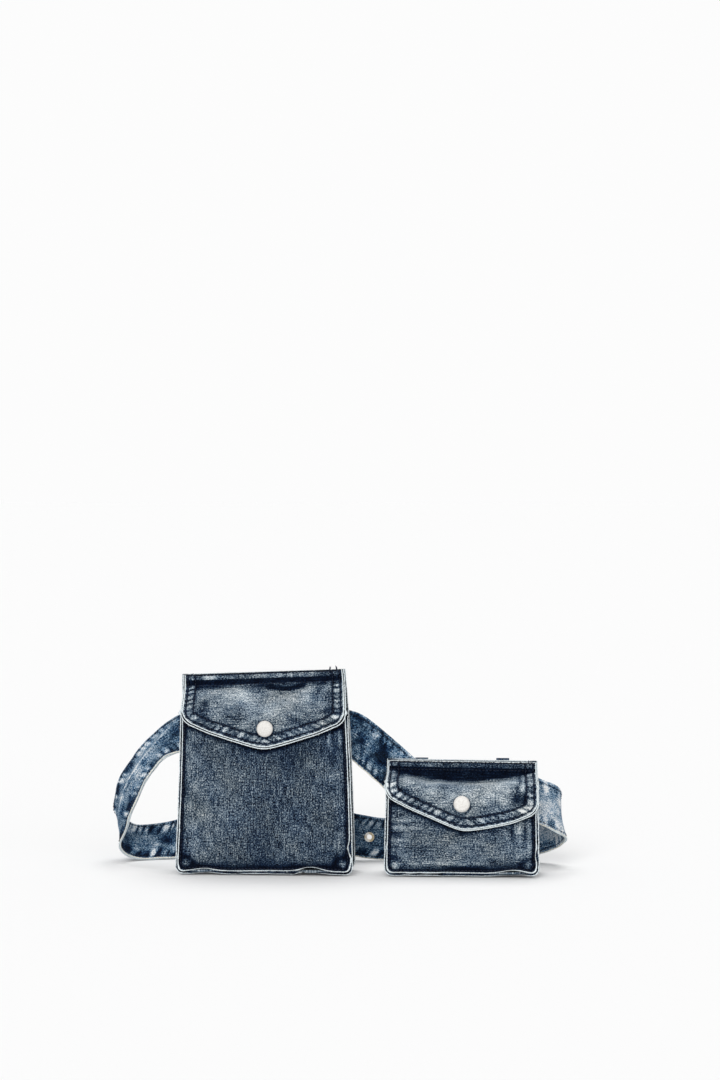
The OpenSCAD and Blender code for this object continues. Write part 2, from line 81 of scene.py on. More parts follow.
# %% Camera
scene = bpy.context.scene
scene.view_settings.view_transform = "Standard"
middle = Vector((0, 0, 0.075))
turn, rise, away = math.radians(4), math.radians(7.6), 2.2
aim_right, aim_up = 0.0256, 0.2327
toward = Vector((math.sin(turn) * math.cos(rise), -math.cos(turn) * math.cos(rise), math.sin(rise)))
right = Vector((math.cos(turn), math.sin(turn), 0))
aim = middle + aim_right * right + aim_up * toward.cross(right)
camera = bpy.data.objects.new("camera", bpy.data.cameras.new("camera"))
camera.data.lens = 77.9
camera.data.clip_end = 50
camera.location = middle + away * toward
camera.rotation_euler = (aim - camera.location).to_track_quat("-Z", "Y").to_euler()
scene.collection.objects.link(camera)
scene.camera = camera
print("camera at", [round(c, 3) for c in camera.location])

# %% [markdown]
# Colours are written as the sRGB hex values that a picture shows, and Blender works in linear light, so one
# function turns one into the other. Nodes could be wired by hand, but in code one function that adds a node with
# its settings, its colour stops and its links is all that a material needs.

# %% Helpers for materials
def colour(text):
    parts = [int(text[i:i + 2], 16) / 255 for i in (1, 3, 5)]
    return [c / 12.92 if c <= 0.04045 else ((c + 0.055) / 1.055) ** 2.4 for c in parts] + [1]


def add(tree, kind, inputs=None, stops=None, **settings):
    node = tree.nodes.new("ShaderNode" + kind)
    for key, value in settings.items():
        setattr(node, key, value)
    for key, value in (inputs or {}).items():
        value = value.outputs[0] if isinstance(value, bpy.types.Node) else value
        if isinstance(value, bpy.types.NodeSocket):
            tree.links.new(value, node.inputs[key])
        else:
            node.inputs[key].default_value = value
    for k, (at, text) in enumerate((stops or {}).items()):
        stop = node.color_ramp.elements[k] if k < 2 else node.color_ramp.elements.new(at)
        stop.position, stop.color = at, colour(text)
    return node


def empty_tree(owner):
    owner.use_nodes = True
    owner.node_tree.nodes.clear()
    return owner, owner.node_tree


print("a middle grey, #808080, is", round(colour("#808080")[0], 3), "in linear light")

# %% [markdown]
# The pack stands on a white sweep. Area lamps would leave the floor uneven, so the lamps are suns with a wide
# angle, which give the same soft light everywhere. One shines from above the camera, one from the ceiling a
# little behind the pack, which draws the dark line where cloth meets floor, and a weak one fills the shadows. For
# the camera the world is white and the floor shines a little, so the sweep is white where nothing shades it.

# %% World and lamps
white_level, ambient_level = 0.975, 0.33
world, tree = empty_tree(bpy.data.worlds.new("white studio"))
path = add(tree, "LightPath")
seen = add(tree, "Math", {0: path.outputs["Is Camera Ray"], 1: path.outputs["Is Glossy Ray"]},
           operation="MAXIMUM")
plain = add(tree, "Background", {"Color": (1, 1, 1, 1), "Strength": ambient_level})
bright = add(tree, "Background", {"Color": (1, 1, 1, 1), "Strength": white_level})
pick = add(tree, "MixShader", {0: seen, 1: plain, 2: bright})
add(tree, "OutputWorld", {"Surface": pick})
scene.world = world

# Strength, how wide each sun is, how high it stands and how far it is turned, in degrees.
for name, strength, angle, rising, turning in (("window", 1.4, 30, 32, -12), ("ceiling", 1.5, 40, 107, 0),
                                               ("fill", 0.45, 60, 15, 40)):
    lamp = bpy.data.lights.new(name, "SUN")
    lamp.energy = strength
    lamp.angle = math.radians(angle)
    sun = bpy.data.objects.new(name, lamp)
    sun.rotation_euler = (math.radians(90 - rising), 0, math.radians(turning))
    scene.collection.objects.link(sun)
    print(name, "lamp at", rising, "degrees")

# %% Floor
# Matt paper has no highlight of its own: the eye sees only the pack's soft shadow on it.
floor_glow, floor_half = 0.03, 30
floor_paper, tree = empty_tree(bpy.data.materials.new("white paper sweep"))
paper = add(tree, "BsdfPrincipled", {"Base Color": colour("#f2f2f2"), "Roughness": 0.9, "Specular IOR Level": 0})
path = add(tree, "LightPath")
glow = add(tree, "Emission", {"Strength": path.outputs["Is Camera Ray"], "Color": [floor_glow] * 3 + [1]})
add(tree, "OutputMaterial", {"Surface": add(tree, "AddShader", {0: paper, 1: glow})})
floor_mesh = bpy.data.meshes.new("floor")
corners = [(x * floor_half, y * floor_half, 0) for x, y in ((-1, -1), (1, -1), (1, 1), (-1, 1))]
floor_mesh.from_pydata(corners, [], [(0, 1, 2, 3)])
floor_mesh.materials.append(floor_paper)
floor = bpy.data.objects.new("floor", floor_mesh)
scene.collection.objects.link(floor)
floor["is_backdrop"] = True
print("floor", 2 * floor_half, "m wide in", floor_paper.name)

# %% [markdown]
# Denim is a 3/1 twill: blue warp yarns over a white weft. Stone washing rubs the dye off whatever stands proud
# and leaves it in the hollows. One noise could mottle it, but real wear follows seams and folds. So each cloth
# mesh carries three values for every point: its place on the flat cloth in mm, how pale it is (from 0, raw
# indigo, to 1, white), which is mostly how far it is washed out but in places painted shade or a painted
# highlight, and how frayed it is. The material adds what is finer than the mesh: uneven yarns, twill lines and
# clouds of lost dye.

# %% The recipe for denim
twill_width = 1.15


def denim(name, cool, warm, raw="#ecf4f7", cloud=(26, 34), cloudy=0.2, speckled=1.9):
    material, tree = empty_tree(bpy.data.materials.new(name))
    place, wash, fray = (add(tree, "Attribute", attribute_name=label) for label in ("cloth", "wash", "fray"))
    # Size across and along the warp in mm, detail, share of the tone. A real yarn is 0.5 mm: the patterns called
    # yarn and pick are drawn at about 1 mm so that they show in the render.
    patterns = {"slub": (1.3, 12, 2, 0.8), "yarn": (0.85, 1.5, 2, speckled), "pick": (8, 1.2, 2, 0.35),
                "fibre": (0.5, 1.0, 2, 0.5), "cloud": (*cloud, 4, cloudy), "rub": (6, 8, 3, 0.3)}
    speckle, noises = -sum(pattern[3] for pattern in patterns.values()) / 2, {}
    for label, (across, along, detail, share) in patterns.items():
        scaled = add(tree, "Mapping", {"Vector": place.outputs["Vector"], "Scale": (1 / across, 1 / along, 1)})
        noises[label] = add(tree, "TexNoise", {"Vector": scaled, "Scale": 1, "Detail": detail}).outputs["Fac"]
        speckle = add(tree, "Math", {0: noises[label], 1: share, 2: speckle}, operation="MULTIPLY_ADD")
    slant = add(tree, "Mapping", {"Vector": place.outputs["Vector"], "Rotation": (0, 0, math.radians(30))})
    # A wave texture repeats every 2 pi / 20 of its unit, so this scale sets the twill lines' distance in mm.
    lines = add(tree, "TexWave", {"Vector": slant, "Scale": 2 * math.pi / 20 / twill_width, "Distortion": 1.5,
                                  "Detail": 1, "Detail Scale": 2}).outputs["Fac"]
    # Unwashed seams are evenly dark, so the speckle fades out there.
    washed = add(tree, "MapRange", {"Value": wash.outputs["Fac"], "From Max": 0.26, "To Min": 0.12})
    tone = add(tree, "Math", {0: speckle, 1: washed, 2: wash.outputs["Fac"]}, operation="MULTIPLY_ADD")
    tone = add(tree, "Math", {0: lines, 1: 0.03, 2: tone}, operation="MULTIPLY_ADD")
    # Two sets of tones: cool indigo, and the warmer grey that the stones leave in rubbed patches.
    ramps = [add(tree, "ValToRGB", {"Fac": tone}, stops=series) for series in (cool, warm)]
    patch = add(tree, "MapRange", {"Value": noises["cloud"], "From Min": 0.32, "From Max": 0.78})
    dyed = add(tree, "Mix", {0: patch, 6: ramps[0], 7: ramps[1]}, data_type="RGBA")
    ragged = add(tree, "Math", {0: noises["yarn"], 1: 0.7, 2: fray.outputs["Fac"]}, operation="MULTIPLY_ADD")
    torn = add(tree, "MapRange", {"Value": ragged, "From Min": 0.62, "From Max": 0.82},
               interpolation_type="SMOOTHSTEP")
    fluff = add(tree, "ValToRGB", {"Fac": noises["yarn"]}, stops={0.28: "#aab8bf", 0.55: raw})
    paint = add(tree, "Mix", {0: torn, 6: dyed.outputs[2], 7: fluff}, data_type="RGBA")
    relief = add(tree, "Math", {0: noises["slub"], 1: 0.8, 2: noises["yarn"]}, operation="MULTIPLY_ADD")
    relief = add(tree, "Math", {0: lines, 1: 0.35, 2: relief}, operation="MULTIPLY_ADD")
    bump = add(tree, "Bump", {"Height": relief, "Strength": 0.55, "Distance": 0.0004})
    body = add(tree, "BsdfPrincipled", {"Base Color": paint.outputs[2], "Normal": bump, "Roughness": 0.9,
                                        "Specular IOR Level": 0.06})
    add(tree, "OutputMaterial", {"Surface": body})
    return material


print("twill lines every", twill_width, "mm")

# %% [markdown]
# Four finishes come from that recipe: two washes of the face, the reverse, and the raw edge. Each is a row of
# cool tones and a row of warm ones, from raw to washed out. One colour made lighter and darker would be simpler,
# but washed indigo also loses its hue. Each tone is the grey level that the camera sees, so a washed value of
# 0.35 renders about as grey 0.35.

# %% Denim, its reverse and its raw edge
# Stone-washed cotton: matt, with salt-and-pepper yarns, almost black in the seams.
pouch_denim = denim(
    "stone-washed indigo denim",
    {0: "#01020a", 0.1: "#071227", 0.2: "#172943", 0.33: "#394c60", 0.5: "#66788a", 0.65: "#8d9da9", 0.8: "#b1bec9",
     1: "#e3ebef"},
    {0: "#02040a", 0.1: "#0d1827", 0.2: "#202f3f", 0.33: "#48555f", 0.5: "#767f83", 0.65: "#999fa1", 0.8: "#babebe",
     1: "#e7e8e6"})
# Acid-washed cotton: brighter blue, in sharper and smaller clouds, with a cream weft.
belt_denim = denim(
    "acid-washed indigo denim",
    {0: "#030710", 0.12: "#0d2140", 0.25: "#234264", 0.4: "#466885", 0.55: "#708ea7", 0.7: "#9bb0c3", 0.85: "#c1cdd9",
     1: "#eceff2"},
    {0: "#070b10", 0.12: "#192838", 0.25: "#34495a", 0.4: "#597082", 0.55: "#8094a6", 0.7: "#a5b1bc", 0.85: "#cacfd3",
     1: "#ecece8"}, raw="#f2ecdc", cloud=(8, 13), cloudy=0.6)
# On the reverse the white weft lies on top, so it looks pale grey and quieter.
reverse_denim = denim(
    "reverse of the denim",
    {0: "#1c2635", 0.3: "#56616f", 0.5: "#8b949c", 0.7: "#b1b6b9", 1: "#dcdcd8"},
    {0: "#222833", 0.3: "#5f6770", 0.5: "#92969a", 0.7: "#b6b7b5", 1: "#dddbd4"}, cloudy=0.15, speckled=1)
# Cut yarn ends have lost their dye: they catch the light as a broken white line.
raw_edge = denim(
    "frayed cotton yarn ends",
    {0: "#3c4650", 0.35: "#9aa5ab", 0.55: "#dde4e7", 1: "#f8fafa"},
    {0: "#3c4650", 0.35: "#9ca6aa", 0.55: "#dde3e4", 1: "#f6f9f9"}, speckled=1)
# What a piece shows on its face, on its reverse and on its cut rim.
pouch_layers, double_layers = (pouch_denim, reverse_denim, raw_edge), (pouch_denim, pouch_denim, raw_edge)
belt_layers, loop_layers = (belt_denim, reverse_denim, raw_edge), (belt_denim, belt_denim, raw_edge)
for material in (pouch_denim, belt_denim, reverse_denim, raw_edge):
    print(material.name, "with", len(material.node_tree.nodes), "nodes")

# %% [markdown]
# Sewing thread is a hard twisted polyester cord. The nickel plate of the buckle is dull and a little warm, from
# handling. On the eyelets it is brighter, and worn to the brass in spots. The snap caps are stamped brass with a
# pale satin plating. Plain metal shaders would look new, so a noise of the size of handling marks changes their
# colour, gloss and height a little.

# %% Thread
# Navy polyester: darker than the washed cloth, with a small sheen, and light and dark turns from its twist.
twist_turns = 900  # light and dark turns of the twist in one metre
navy_thread, tree = empty_tree(bpy.data.materials.new("navy polyester thread"))
twist = add(tree, "TexNoise", {"Vector": add(tree, "TexCoord").outputs["Object"],
                               "Scale": twist_turns, "Detail": 2})
dye = add(tree, "ValToRGB", {"Fac": twist.outputs["Fac"]}, stops={0.35: "#060a14", 0.7: "#1d2b44"})
cord = add(tree, "BsdfPrincipled", {"Base Color": dye, "Roughness": 0.55, "Specular IOR Level": 0.3})
add(tree, "OutputMaterial", {"Surface": cord})
print(navy_thread.name, "with a turn every", round(1000 / twist_turns, 1), "mm")


# %% Metal
def plated(name, clean, worn, shine, metal, grit):
    material, tree = empty_tree(bpy.data.materials.new(name))
    # Handling marks are about as wide as grit, in metres.
    marks = add(tree, "TexNoise", {"Vector": add(tree, "TexCoord").outputs["Object"],
                                   "Scale": 1 / grit, "Detail": 5}).outputs["Fac"]
    skin = add(tree, "ValToRGB", {"Fac": marks}, stops={0.38: worn, 0.58: clean})
    rough = add(tree, "MapRange", {"Value": marks, "To Min": shine + 0.12, "To Max": shine - 0.08})
    dents = add(tree, "Bump", {"Height": marks, "Strength": 0.12, "Distance": 0.0002})
    body = add(tree, "BsdfPrincipled", {"Base Color": skin, "Roughness": rough, "Normal": dents,
                                        "Metallic": metal})
    add(tree, "OutputMaterial", {"Surface": body})
    return material


# Dull nickel gives wide, soft highlights; worn nickel shows yellow brass in spots; the satin cap is almost white.
nickel = plated("dull nickel plate", "#d6d3cd", "#b4ab9c", 0.34, 1, 0.004)
bright_nickel = plated("bright nickel plate, worn to the brass", "#f2efe9", "#c8b592", 0.3, 0.5, 0.003)
pale_cap = plated("satin white-nickel plate", "#dbd9d5", "#cecbc6", 0.5, 0.2, 0.0012)
for name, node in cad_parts.items():
    if any(word in name for word in ("snap", "eyelet", "buckle")):
        plate = pale_cap if name.endswith("cap") else bright_nickel if "eyelet" in name else nickel
        node.data.materials.clear()
        node.data.materials.append(plate)
        print(name, "in", plate.name)

# %% [markdown]
# Cloth shapes are worked out as grids of points in mm. A cloth simulation could fold them, but its creases fall
# where they like. Here each fold and pucker is put where the photograph shows one, and small random waves give it
# life: an eased step, a rounded bump, waves in one and two directions, and the puckers of a hem. In the formulas
# further down, the number before such a word is its strength, and the ones inside it are its place and its size,
# most of them in mm. Each wave has its own seed, so every run is alike.

# %% Steps, bumps and waves
def ease(start, end, t):
    t = np.clip((t - start) / (end - start), 0, 1)
    return t * t * (3 - 2 * t)


def hump(t, middle, width):
    return np.exp(-((t - middle) / width) ** 2)


def waves(t, step, seed):
    knots = np.random.RandomState(seed).uniform(-1, 1, 2048)
    t = np.asarray(t) / step + 900
    i = np.floor(t).astype(int)
    f = ease(0, 1, t - i)
    return knots[i % 2048] * (1 - f) + knots[(i + 1) % 2048] * f


def clouds(x, y, step, seed):
    knots = np.random.RandomState(seed).uniform(-1, 1, (256, 256))
    x, y = np.broadcast_arrays(np.asarray(x) / step + 99, np.asarray(y) / step + 99)
    i, j = np.floor(x).astype(int), np.floor(y).astype(int)
    f, g = ease(0, 1, x - i), ease(0, 1, y - j)
    a, b, c, d = (knots[(i + p) % 256, (j + q) % 256] for p, q in ((0, 0), (1, 0), (0, 1), (1, 1)))
    return (a * (1 - f) + b * f) * (1 - g) + (c * (1 - f) + d * f) * g


def patches(t, pitch, seed, least=0.1, uneven=0.38):
    """Puckers along a hem: one rounded step after another, each of its own length and strength."""
    dice = np.random.RandomState(seed)
    strength, shift = dice.uniform(least, 1, 512) ** 1.3, dice.uniform(-uneven, uneven, 512)
    t = np.asarray(t) / pitch + 200
    i = np.floor(t).astype(int)
    i = np.where(t < i + shift[i % 512], i - 1, i)
    i = np.where(t >= i + 1 + shift[(i + 1) % 512], i + 1, i)
    start, end = i + shift[i % 512], i + 1 + shift[(i + 1) % 512]
    f = (t - start) / (end - start)
    return strength[i % 512] * ease(0, 0.35, f) * ease(1, 0.65, f)


print("waves between", waves(np.arange(99), 7, 1).min().round(2), "and", waves(np.arange(99), 7, 1).max().round(2))

# %% [markdown]
# A hem needs a fine grid and the middle of a panel does not. An even grid as fine as the hems need would be
# several times heavier, so a ladder of grid lines is close at both ends. Other helpers measure along a line, find
# directions, and say where a spot (u, v) of a grid lies.

# %% Lines and grids
def ladder(length, step=1.4, near=(0, 0.6, 1.2, 1.9, 2.7, 3.6, 4.6, 5.8)):
    near = np.array(near)
    rest = np.linspace(near[-1], length - near[-1], max(2, int((length - 2 * near[-1]) / step)))
    return np.concatenate([near[:-1], rest, length - near[-2::-1]])


def reach_of(line):
    return np.concatenate([[0], np.cumsum(np.linalg.norm(np.diff(line, axis=0), axis=1))])


def taken_at(at, reach, values):
    return np.stack([np.interp(at, reach, values[:, k]) for k in range(values.shape[1])], -1)


def unit(ways):
    return ways / np.maximum(np.linalg.norm(ways, axis=-1, keepdims=True), 1e-9)


def facing_out(face):
    return unit(np.cross(np.gradient(face, axis=1), np.gradient(face, axis=0)))


def spots(us, vs, *grids):
    """A function that takes spots u, v and gives the values of each grid there."""
    def at(u, v):
        u, v = np.broadcast_arrays(u, v)
        i, j = np.interp(v, vs, np.arange(len(vs))), np.interp(u, us, np.arange(len(us)))
        a, b = np.minimum(i.astype(int), len(vs) - 2), np.minimum(j.astype(int), len(us) - 2)
        f, g = (i - a)[..., None], (j - b)[..., None]
        return [(grid[a, b] * (1 - g) + grid[a, b + 1] * g) * (1 - f)
                + (grid[a + 1, b] * (1 - g) + grid[a + 1, b + 1] * g) * f for grid in grids]
    return at


print("grid lines across 30 mm:", ladder(30).round(1).tolist())

# %% [markdown]
# One function sews: it takes the outer face of a piece as a grid, gives it the cloth's thickness, and closes the
# rim with raw yarn ends. A solidify modifier could thicken it, but then the reverse and the rim could not each
# have their own wash. The result is a closed thin solid, as real cloth is. Holes are cells left out.

# %% A new piece, and the values on it
floor_clear = 0.05  # no point goes lower than this, in mm


def new_piece(name, points, faces, finishes):
    points[:, 2] = np.maximum(points[:, 2], floor_clear)
    mesh = bpy.data.meshes.new(name)
    mesh.from_pydata((points / 1000).tolist(), [], faces)
    for material in finishes:
        mesh.materials.append(material)
    mesh.shade_smooth()
    piece = bpy.data.objects.new(name, mesh)
    scene.collection.objects.link(piece)
    return piece


def carry(piece, **values):
    """Keeps values on a piece's points, where its material finds them."""
    for label, value in values.items():
        kind, field = ("FLOAT_VECTOR", "vector") if value.ndim == 2 else ("FLOAT", "value")
        store = piece.data.attributes.new(label, kind, "POINT")
        store.data.foreach_set(field, value.astype(np.float32).ravel())


print("pieces stay", floor_clear, "mm above the floor")

# %% From a grid to a piece of cloth
reverse_shift = 500  # the reverse takes its pattern from this far along the cloth, in mm


def sew(name, face, flat, wash, fray, thick, finishes, rims=(2, 2, 2, 2), reverse=0.5, holes=None):
    rows, cols = face.shape[:2]
    count = rows * cols
    normal = facing_out(face)
    thick = np.broadcast_to(thick, (rows, cols))[..., None]
    grid = np.arange(count).reshape(rows, cols)
    cells = np.stack([grid[:-1, :-1], grid[:-1, 1:], grid[1:, 1:], grid[1:, :-1]], -1)
    front = cells.reshape(-1, 4) if holes is None else cells[~holes]
    quads, paint = [front, front[:, ::-1] + count], [np.zeros(len(front)), np.ones(len(front))]
    for rim, line in zip(rims, (grid[0], grid[:, -1], grid[-1, ::-1], grid[::-1, 0])):
        p, q = line[:-1], line[1:]
        quads.append(np.stack([q, p, p + count, q + count], -1))
        paint.append(np.full(len(p), rim))
    if holes is not None:
        edges = np.concatenate([cells[holes][:, [k, (k + 1) % 4]] for k in range(4)]).tolist()
        pairs = {tuple(edge) for edge in edges}
        wall = np.array([edge for edge in edges if (edge[1], edge[0]) not in pairs])
        quads.append(np.column_stack([wall, wall[:, ::-1] + count]))
        paint.append(np.full(len(wall), 2))
    quads = np.concatenate(quads)
    used = np.unique(quads)
    renumber = np.zeros(2 * count, int)
    renumber[used] = np.arange(len(used))
    points = np.concatenate([face.reshape(-1, 3), (face - normal * thick).reshape(-1, 3)])
    piece = new_piece(name, points[used], renumber[quads].tolist(), finishes)
    piece.data.polygons.foreach_set("material_index", np.concatenate(paint).astype(np.int32))
    flat = np.column_stack([flat.reshape(-1, 2), np.zeros(count)])
    under = np.broadcast_to(reverse, wash.shape)
    carry(piece, wash=np.concatenate([wash.ravel(), under.ravel()])[used],
          fray=np.concatenate([fray.ravel(), fray.ravel()])[used],
          cloth=np.concatenate([flat, flat + (reverse_shift, reverse_shift, 0)])[used])
    print(name, "sewn from", rows, "by", cols, "points")
    return piece, normal


# %% [markdown]
# A lockstitch shows as a row of short plump dashes. Drawn in the material they would be flat, so each one is a
# small tapered bead that dives into the cloth at both ends. Frayed yarn ends are thin curved spikes. Both are
# made from one bead shape, which numpy copies.

# %% Beads for stitches and yarn
def beads(name, middles, ways, outs, lengths, width, lift, material, sides=5, taper=(0.35, 0.85, 1, 0.85, 0.35),
          bend=(-0.28, 0.1, 0.3, 0.1, -0.28)):
    ways = unit(ways)
    across = unit(np.cross(ways, outs))
    outs = np.cross(across, ways)
    rings = len(taper)
    ring, turn = np.meshgrid(np.arange(rings), np.arange(sides) * 2 * math.pi / sides, indexing="ij")
    size = np.array(taper)[ring] * width / 2
    steps = np.linspace(-0.5, 0.5, rings)[ring] * lengths[:, None, None]
    points = middles[:, None, None] + ways[:, None, None] * steps[..., None]
    for way, move in ((across, size * np.cos(turn)), (outs, size * np.sin(turn) + np.array(bend)[ring] * lift)):
        points = points + way[:, None, None] * move[..., None]
    one = np.arange(rings * sides).reshape(rings, sides)
    turned = np.roll(one, -1, 1)
    quads = np.stack([one[:-1], turned[:-1], turned[1:], one[1:]], -1).reshape(-1, 4)
    starts = np.arange(len(middles))[:, None] * rings * sides
    faces = (quads + starts[..., None]).reshape(-1, 4).tolist()
    for cap in (one[0][::-1], one[-1]):
        faces += (cap + starts).tolist()
    print(name, "made of", len(middles), "beads")
    return new_piece(name, points.reshape(-1, 3), faces, [material])


# %% [markdown]
# A needle collects all the stitches and all the loose yarn of one piece, and makes one mesh of each, so that the
# scene has two extra objects for a piece instead of hundreds. Its dice have a seed, so a crooked stitch stays
# where it is.

# %% A needle for rows, frayed edges and thread ends
class Needle:
    thread_width, yarn_width = 0.85, 0.2

    def __init__(self, name, seed):
        self.name, self.dice = name, np.random.RandomState(seed)
        self.stitches, self.yarn = [], []

    def row(self, line, out, pitch=3.3, length=2.7):
        reach = reach_of(line)
        at = np.arange(pitch / 2, reach[-1], pitch)
        middles, outs = (taken_at(at, reach, np.broadcast_to(v, line.shape)) for v in (line, out))
        ways = np.gradient(middles, axis=0) if len(middles) > 1 else np.array([line[-1] - line[0]])
        middles = middles + outs * 0.12 + self.dice.normal(0, 0.12, middles.shape)
        self.stitches.append((middles, ways, outs, length * self.dice.uniform(0.85, 1.1, len(middles))))

    def fray(self, line, out, lift, gap, length):
        reach = reach_of(line)
        at = np.arange(gap / 2, reach[-1], gap)
        kinds = line, out, lift, np.gradient(line, axis=0)
        middles, outs, lifts, ways = (taken_at(at, reach, np.broadcast_to(v, line.shape)) for v in kinds)
        ways = unit(ways)
        long = np.interp(at, reach, np.broadcast_to(length, len(line)))
        long = long * self.dice.gamma(3, 1 / 3, len(at)).clip(0.3, 2.2)

        def loose(spread):
            return self.dice.normal(0, spread, (len(at), 1))

        lean = unit(outs + ways * loose(0.75) + lifts * loose(0.45))
        middles = middles + ways * loose(0.5) + lifts * loose(0.35) + lean * long[:, None] * 0.35
        kept = long > self.yarn_width
        self.yarn.append([v[kept] for v in (middles, lean, lifts, long)])

    def end(self, foot, tall):
        way = np.array([[self.dice.normal(0, 0.25), 0, 1]])
        self.stitches.append((foot + way * 0.4 * tall, way, np.array([[0, -1.0, 0]]), np.array([float(tall)])))

    def make(self):
        made = []
        if self.stitches:
            made.append(beads(self.name + "_stitches", *map(np.concatenate, zip(*self.stitches)),
                              width=self.thread_width, lift=1, material=navy_thread))
        if self.yarn:
            yarn = beads(self.name + "_frayed_yarn", *map(np.concatenate, zip(*self.yarn)), width=self.yarn_width,
                         lift=0.9, material=raw_edge, sides=3, taper=(1, 0.8, 0.4), bend=(0, 0.25, 0.1))
            carry(yarn, wash=np.full(len(yarn.data.vertices), 0.6), fray=np.zeros(len(yarn.data.vertices)))
            made.append(yarn)
        return made


print("thread", Needle.thread_width, "mm wide, loose yarn", Needle.yarn_width, "mm")

# %% [markdown]
# Each finished piece of cloth takes the place of a CAD node, which is hidden, and is hung on the body that it
# moves with. Its stitches and yarn go with it.

# %% Taking a CAD node's place
def settle(cloth_piece, needle, node, body):
    extra = needle.make()
    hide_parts(node)
    for piece in [cloth_piece] + extra:
        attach(piece, body)
    print(node, "is now", cloth_piece.name, "with", [piece.name for piece in extra])


def settle_on_pouch(p, cloth_piece, needle, node):
    settle(cloth_piece, needle, f"{p.name}_{node}", p.name + "_pouch")


# %% [markdown]
# The sizes of the two pouches repeat the CAD model's driving sizes in mm. They could be measured on the CAD
# meshes, but a fold or a hem is not the edge of a box, so each has a name here. The frame says where the pouches
# stand.

# %% Sizes
# The cloth's thickness, a pouch's depth, the seam edge outside the stitches, the radius of the lower corners at
# the seam, how much higher the gusset ends at the back, and the play of moving pieces.
cloth, depth, seam_edge, corner_r, gusset_rise, slack = 1.2, 40, 4, 5, 10, 0.4
outer_r = corner_r + seam_edge  # the same corners at the cut edge


class Pouch(SimpleNamespace):
    def set(self, **more):
        self.__dict__.update(more)


# Hem and mouth: how high and how deep the mouth is. Band: the part of the flap that is sewn to the back. A
# flap's side, its point and its snap count down from the fold.
big = Pouch(name="big", width=164, top_width=153, height=182, hem=145, mouth=20, band=12, flap_width=150,
            flap_side=32, flap_point=56, snap_drop=37, belt_z=128, loop_pitch=90, loop_room=43, loop_lift=0)
small = Pouch(name="small", width=142, top_width=139, height=100, hem=78, mouth=22, band=9, flap_width=139,
              flap_side=28, flap_point=50, snap_drop=26, belt_z=70, loop_pitch=75, loop_room=51, loop_lift=3.5)
pouches = big, small
for p in pouches:
    low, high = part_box(p.name + "_front_panel")
    p.set(x=1000 * (low.x + high.x) / 2, y=1000 * low.y, slope=(depth - p.mouth) / p.hem, fold=p.height - p.band,
          taper=(p.width - p.top_width) / 2 / p.height)
    p.set(snap=p.fold - p.snap_drop, steep=math.hypot(1, p.slope))
    print(p.name, "pouch at", round(p.x, 1), round(p.y, 1), "snap at", p.snap, "mm up")

# %% [markdown]
# Front and back panels have the same outline: straight sides that lean in a little, and round lower corners. A
# box with a bevel would be stiff and even, so the outline is a grid that knows, at each point, how far it is from
# the cut edge. Seams, dips, waves and wear all follow that distance. The base arches up here and there, and the
# seam edges wave.

# %% The outline of a panel
def round_edge(x, z):
    return np.sign(x) * (np.abs(x) + z)


def outline_grid(p, height, trim=0, mirror=1):
    half = p.width / 2 - trim
    us, vs = (ladder(2 * half) - half) / half, ladder(height - trim) / (height - trim)
    u, v = np.meshgrid(us, vs)
    r = outer_r - trim
    bent = np.clip(np.abs(u) * half - (half - r), 0, r)
    foot = trim + r - np.sqrt(r * r - bent ** 2)
    z = foot + (height - foot) * v
    x = mirror * u * (half - p.taper * z)
    side, low = (1 - np.abs(u)) * half, z - foot
    inset = np.maximum(-2 * np.log(np.exp(-side / 2) + np.exp(-low / 2)), 0)
    return SimpleNamespace(us=us, vs=vs, x=x, z=z, side=side, low=low, inset=inset, run=round_edge(x, z))


def seam_path(p, height, inset, count=160):
    half = p.width / 2
    turn = 1 - (inset + 0.5 * outer_r) / half
    down, edge = np.linspace(0.985, (inset + 0.6 * outer_r) / height, count), np.full(count, 1 - inset / half)
    u = np.concatenate([-edge, np.linspace(-turn, turn, count), edge])
    return u, np.concatenate([down, np.full(count, inset / height), down[::-1]])


def seam_wave(p, x, z):
    return 0.9 * waves(round_edge(x, z), 8, p.seed) + 0.5 * waves(round_edge(x, z), 21, p.seed + 1)


def arch(p, x):
    u = 2 * x / p.width
    return 0.5 + 1.6 * ease(1, 0.86, np.abs(u)) + sum(rise * hump(u, at, wide) for at, wide, rise in p.arches)


def lean(p, z):
    return p.lean * (z / p.height) ** 3


def smudged(wash, x, y, marks):
    for at, up, wide, tall, amount in marks:
        wash = wash + amount * hump(x, at, wide) * hump(y, up, tall)
    return wash


def fray_edges(needle, on, edges, shift, gap, length):
    for u, v, way in edges:
        needle.fray(on(u, v)[0] + np.array([0, shift, 0]), np.array(way, float), np.array([0, 1.0, 0]), gap, length)


print("outline grids:", [outline_grid(p, p.hem).x.shape for p in pouches], "points")

# %% [markdown]
# A pouch front is one panel of denim. Its sides and base are sewn to the gusset 4 mm in from the gusset's raw
# edge, and it is cut a little smaller, so both raw edges show as two pale lines. The cloth dips along the seam
# and swells inside it. Under the flap the snap and the mouth hem keep it flat. A swollen pad could come from
# simulation, but this panel is empty cloth, so its few broad waves are drawn as smooth noise.

# %% The shape of a front
trim = 2.1  # how much smaller than the gusset's edge the front is cut
front_seam = seam_edge - trim + 0.7
# Arches and curls: place, half width and height or move of a bend in the seam edge. Arches count across in half
# widths, curls count up the right edge in mm.
big.set(seed=11, puff=2.6, lean=-3.6, arches=[(-0.66, 0.14, 2.2), (0.53, 0.16, 4.2), (0.05, 0.25, 0.7)],
        curls=[(26, 5, -2.4), (15, 4, 1.2)])
small.set(seed=61, puff=2.0, lean=0, arches=[(0.68, 0.2, 3.2), (-0.2, 0.5, 0.4)], curls=[(20, 5, -1.2)])


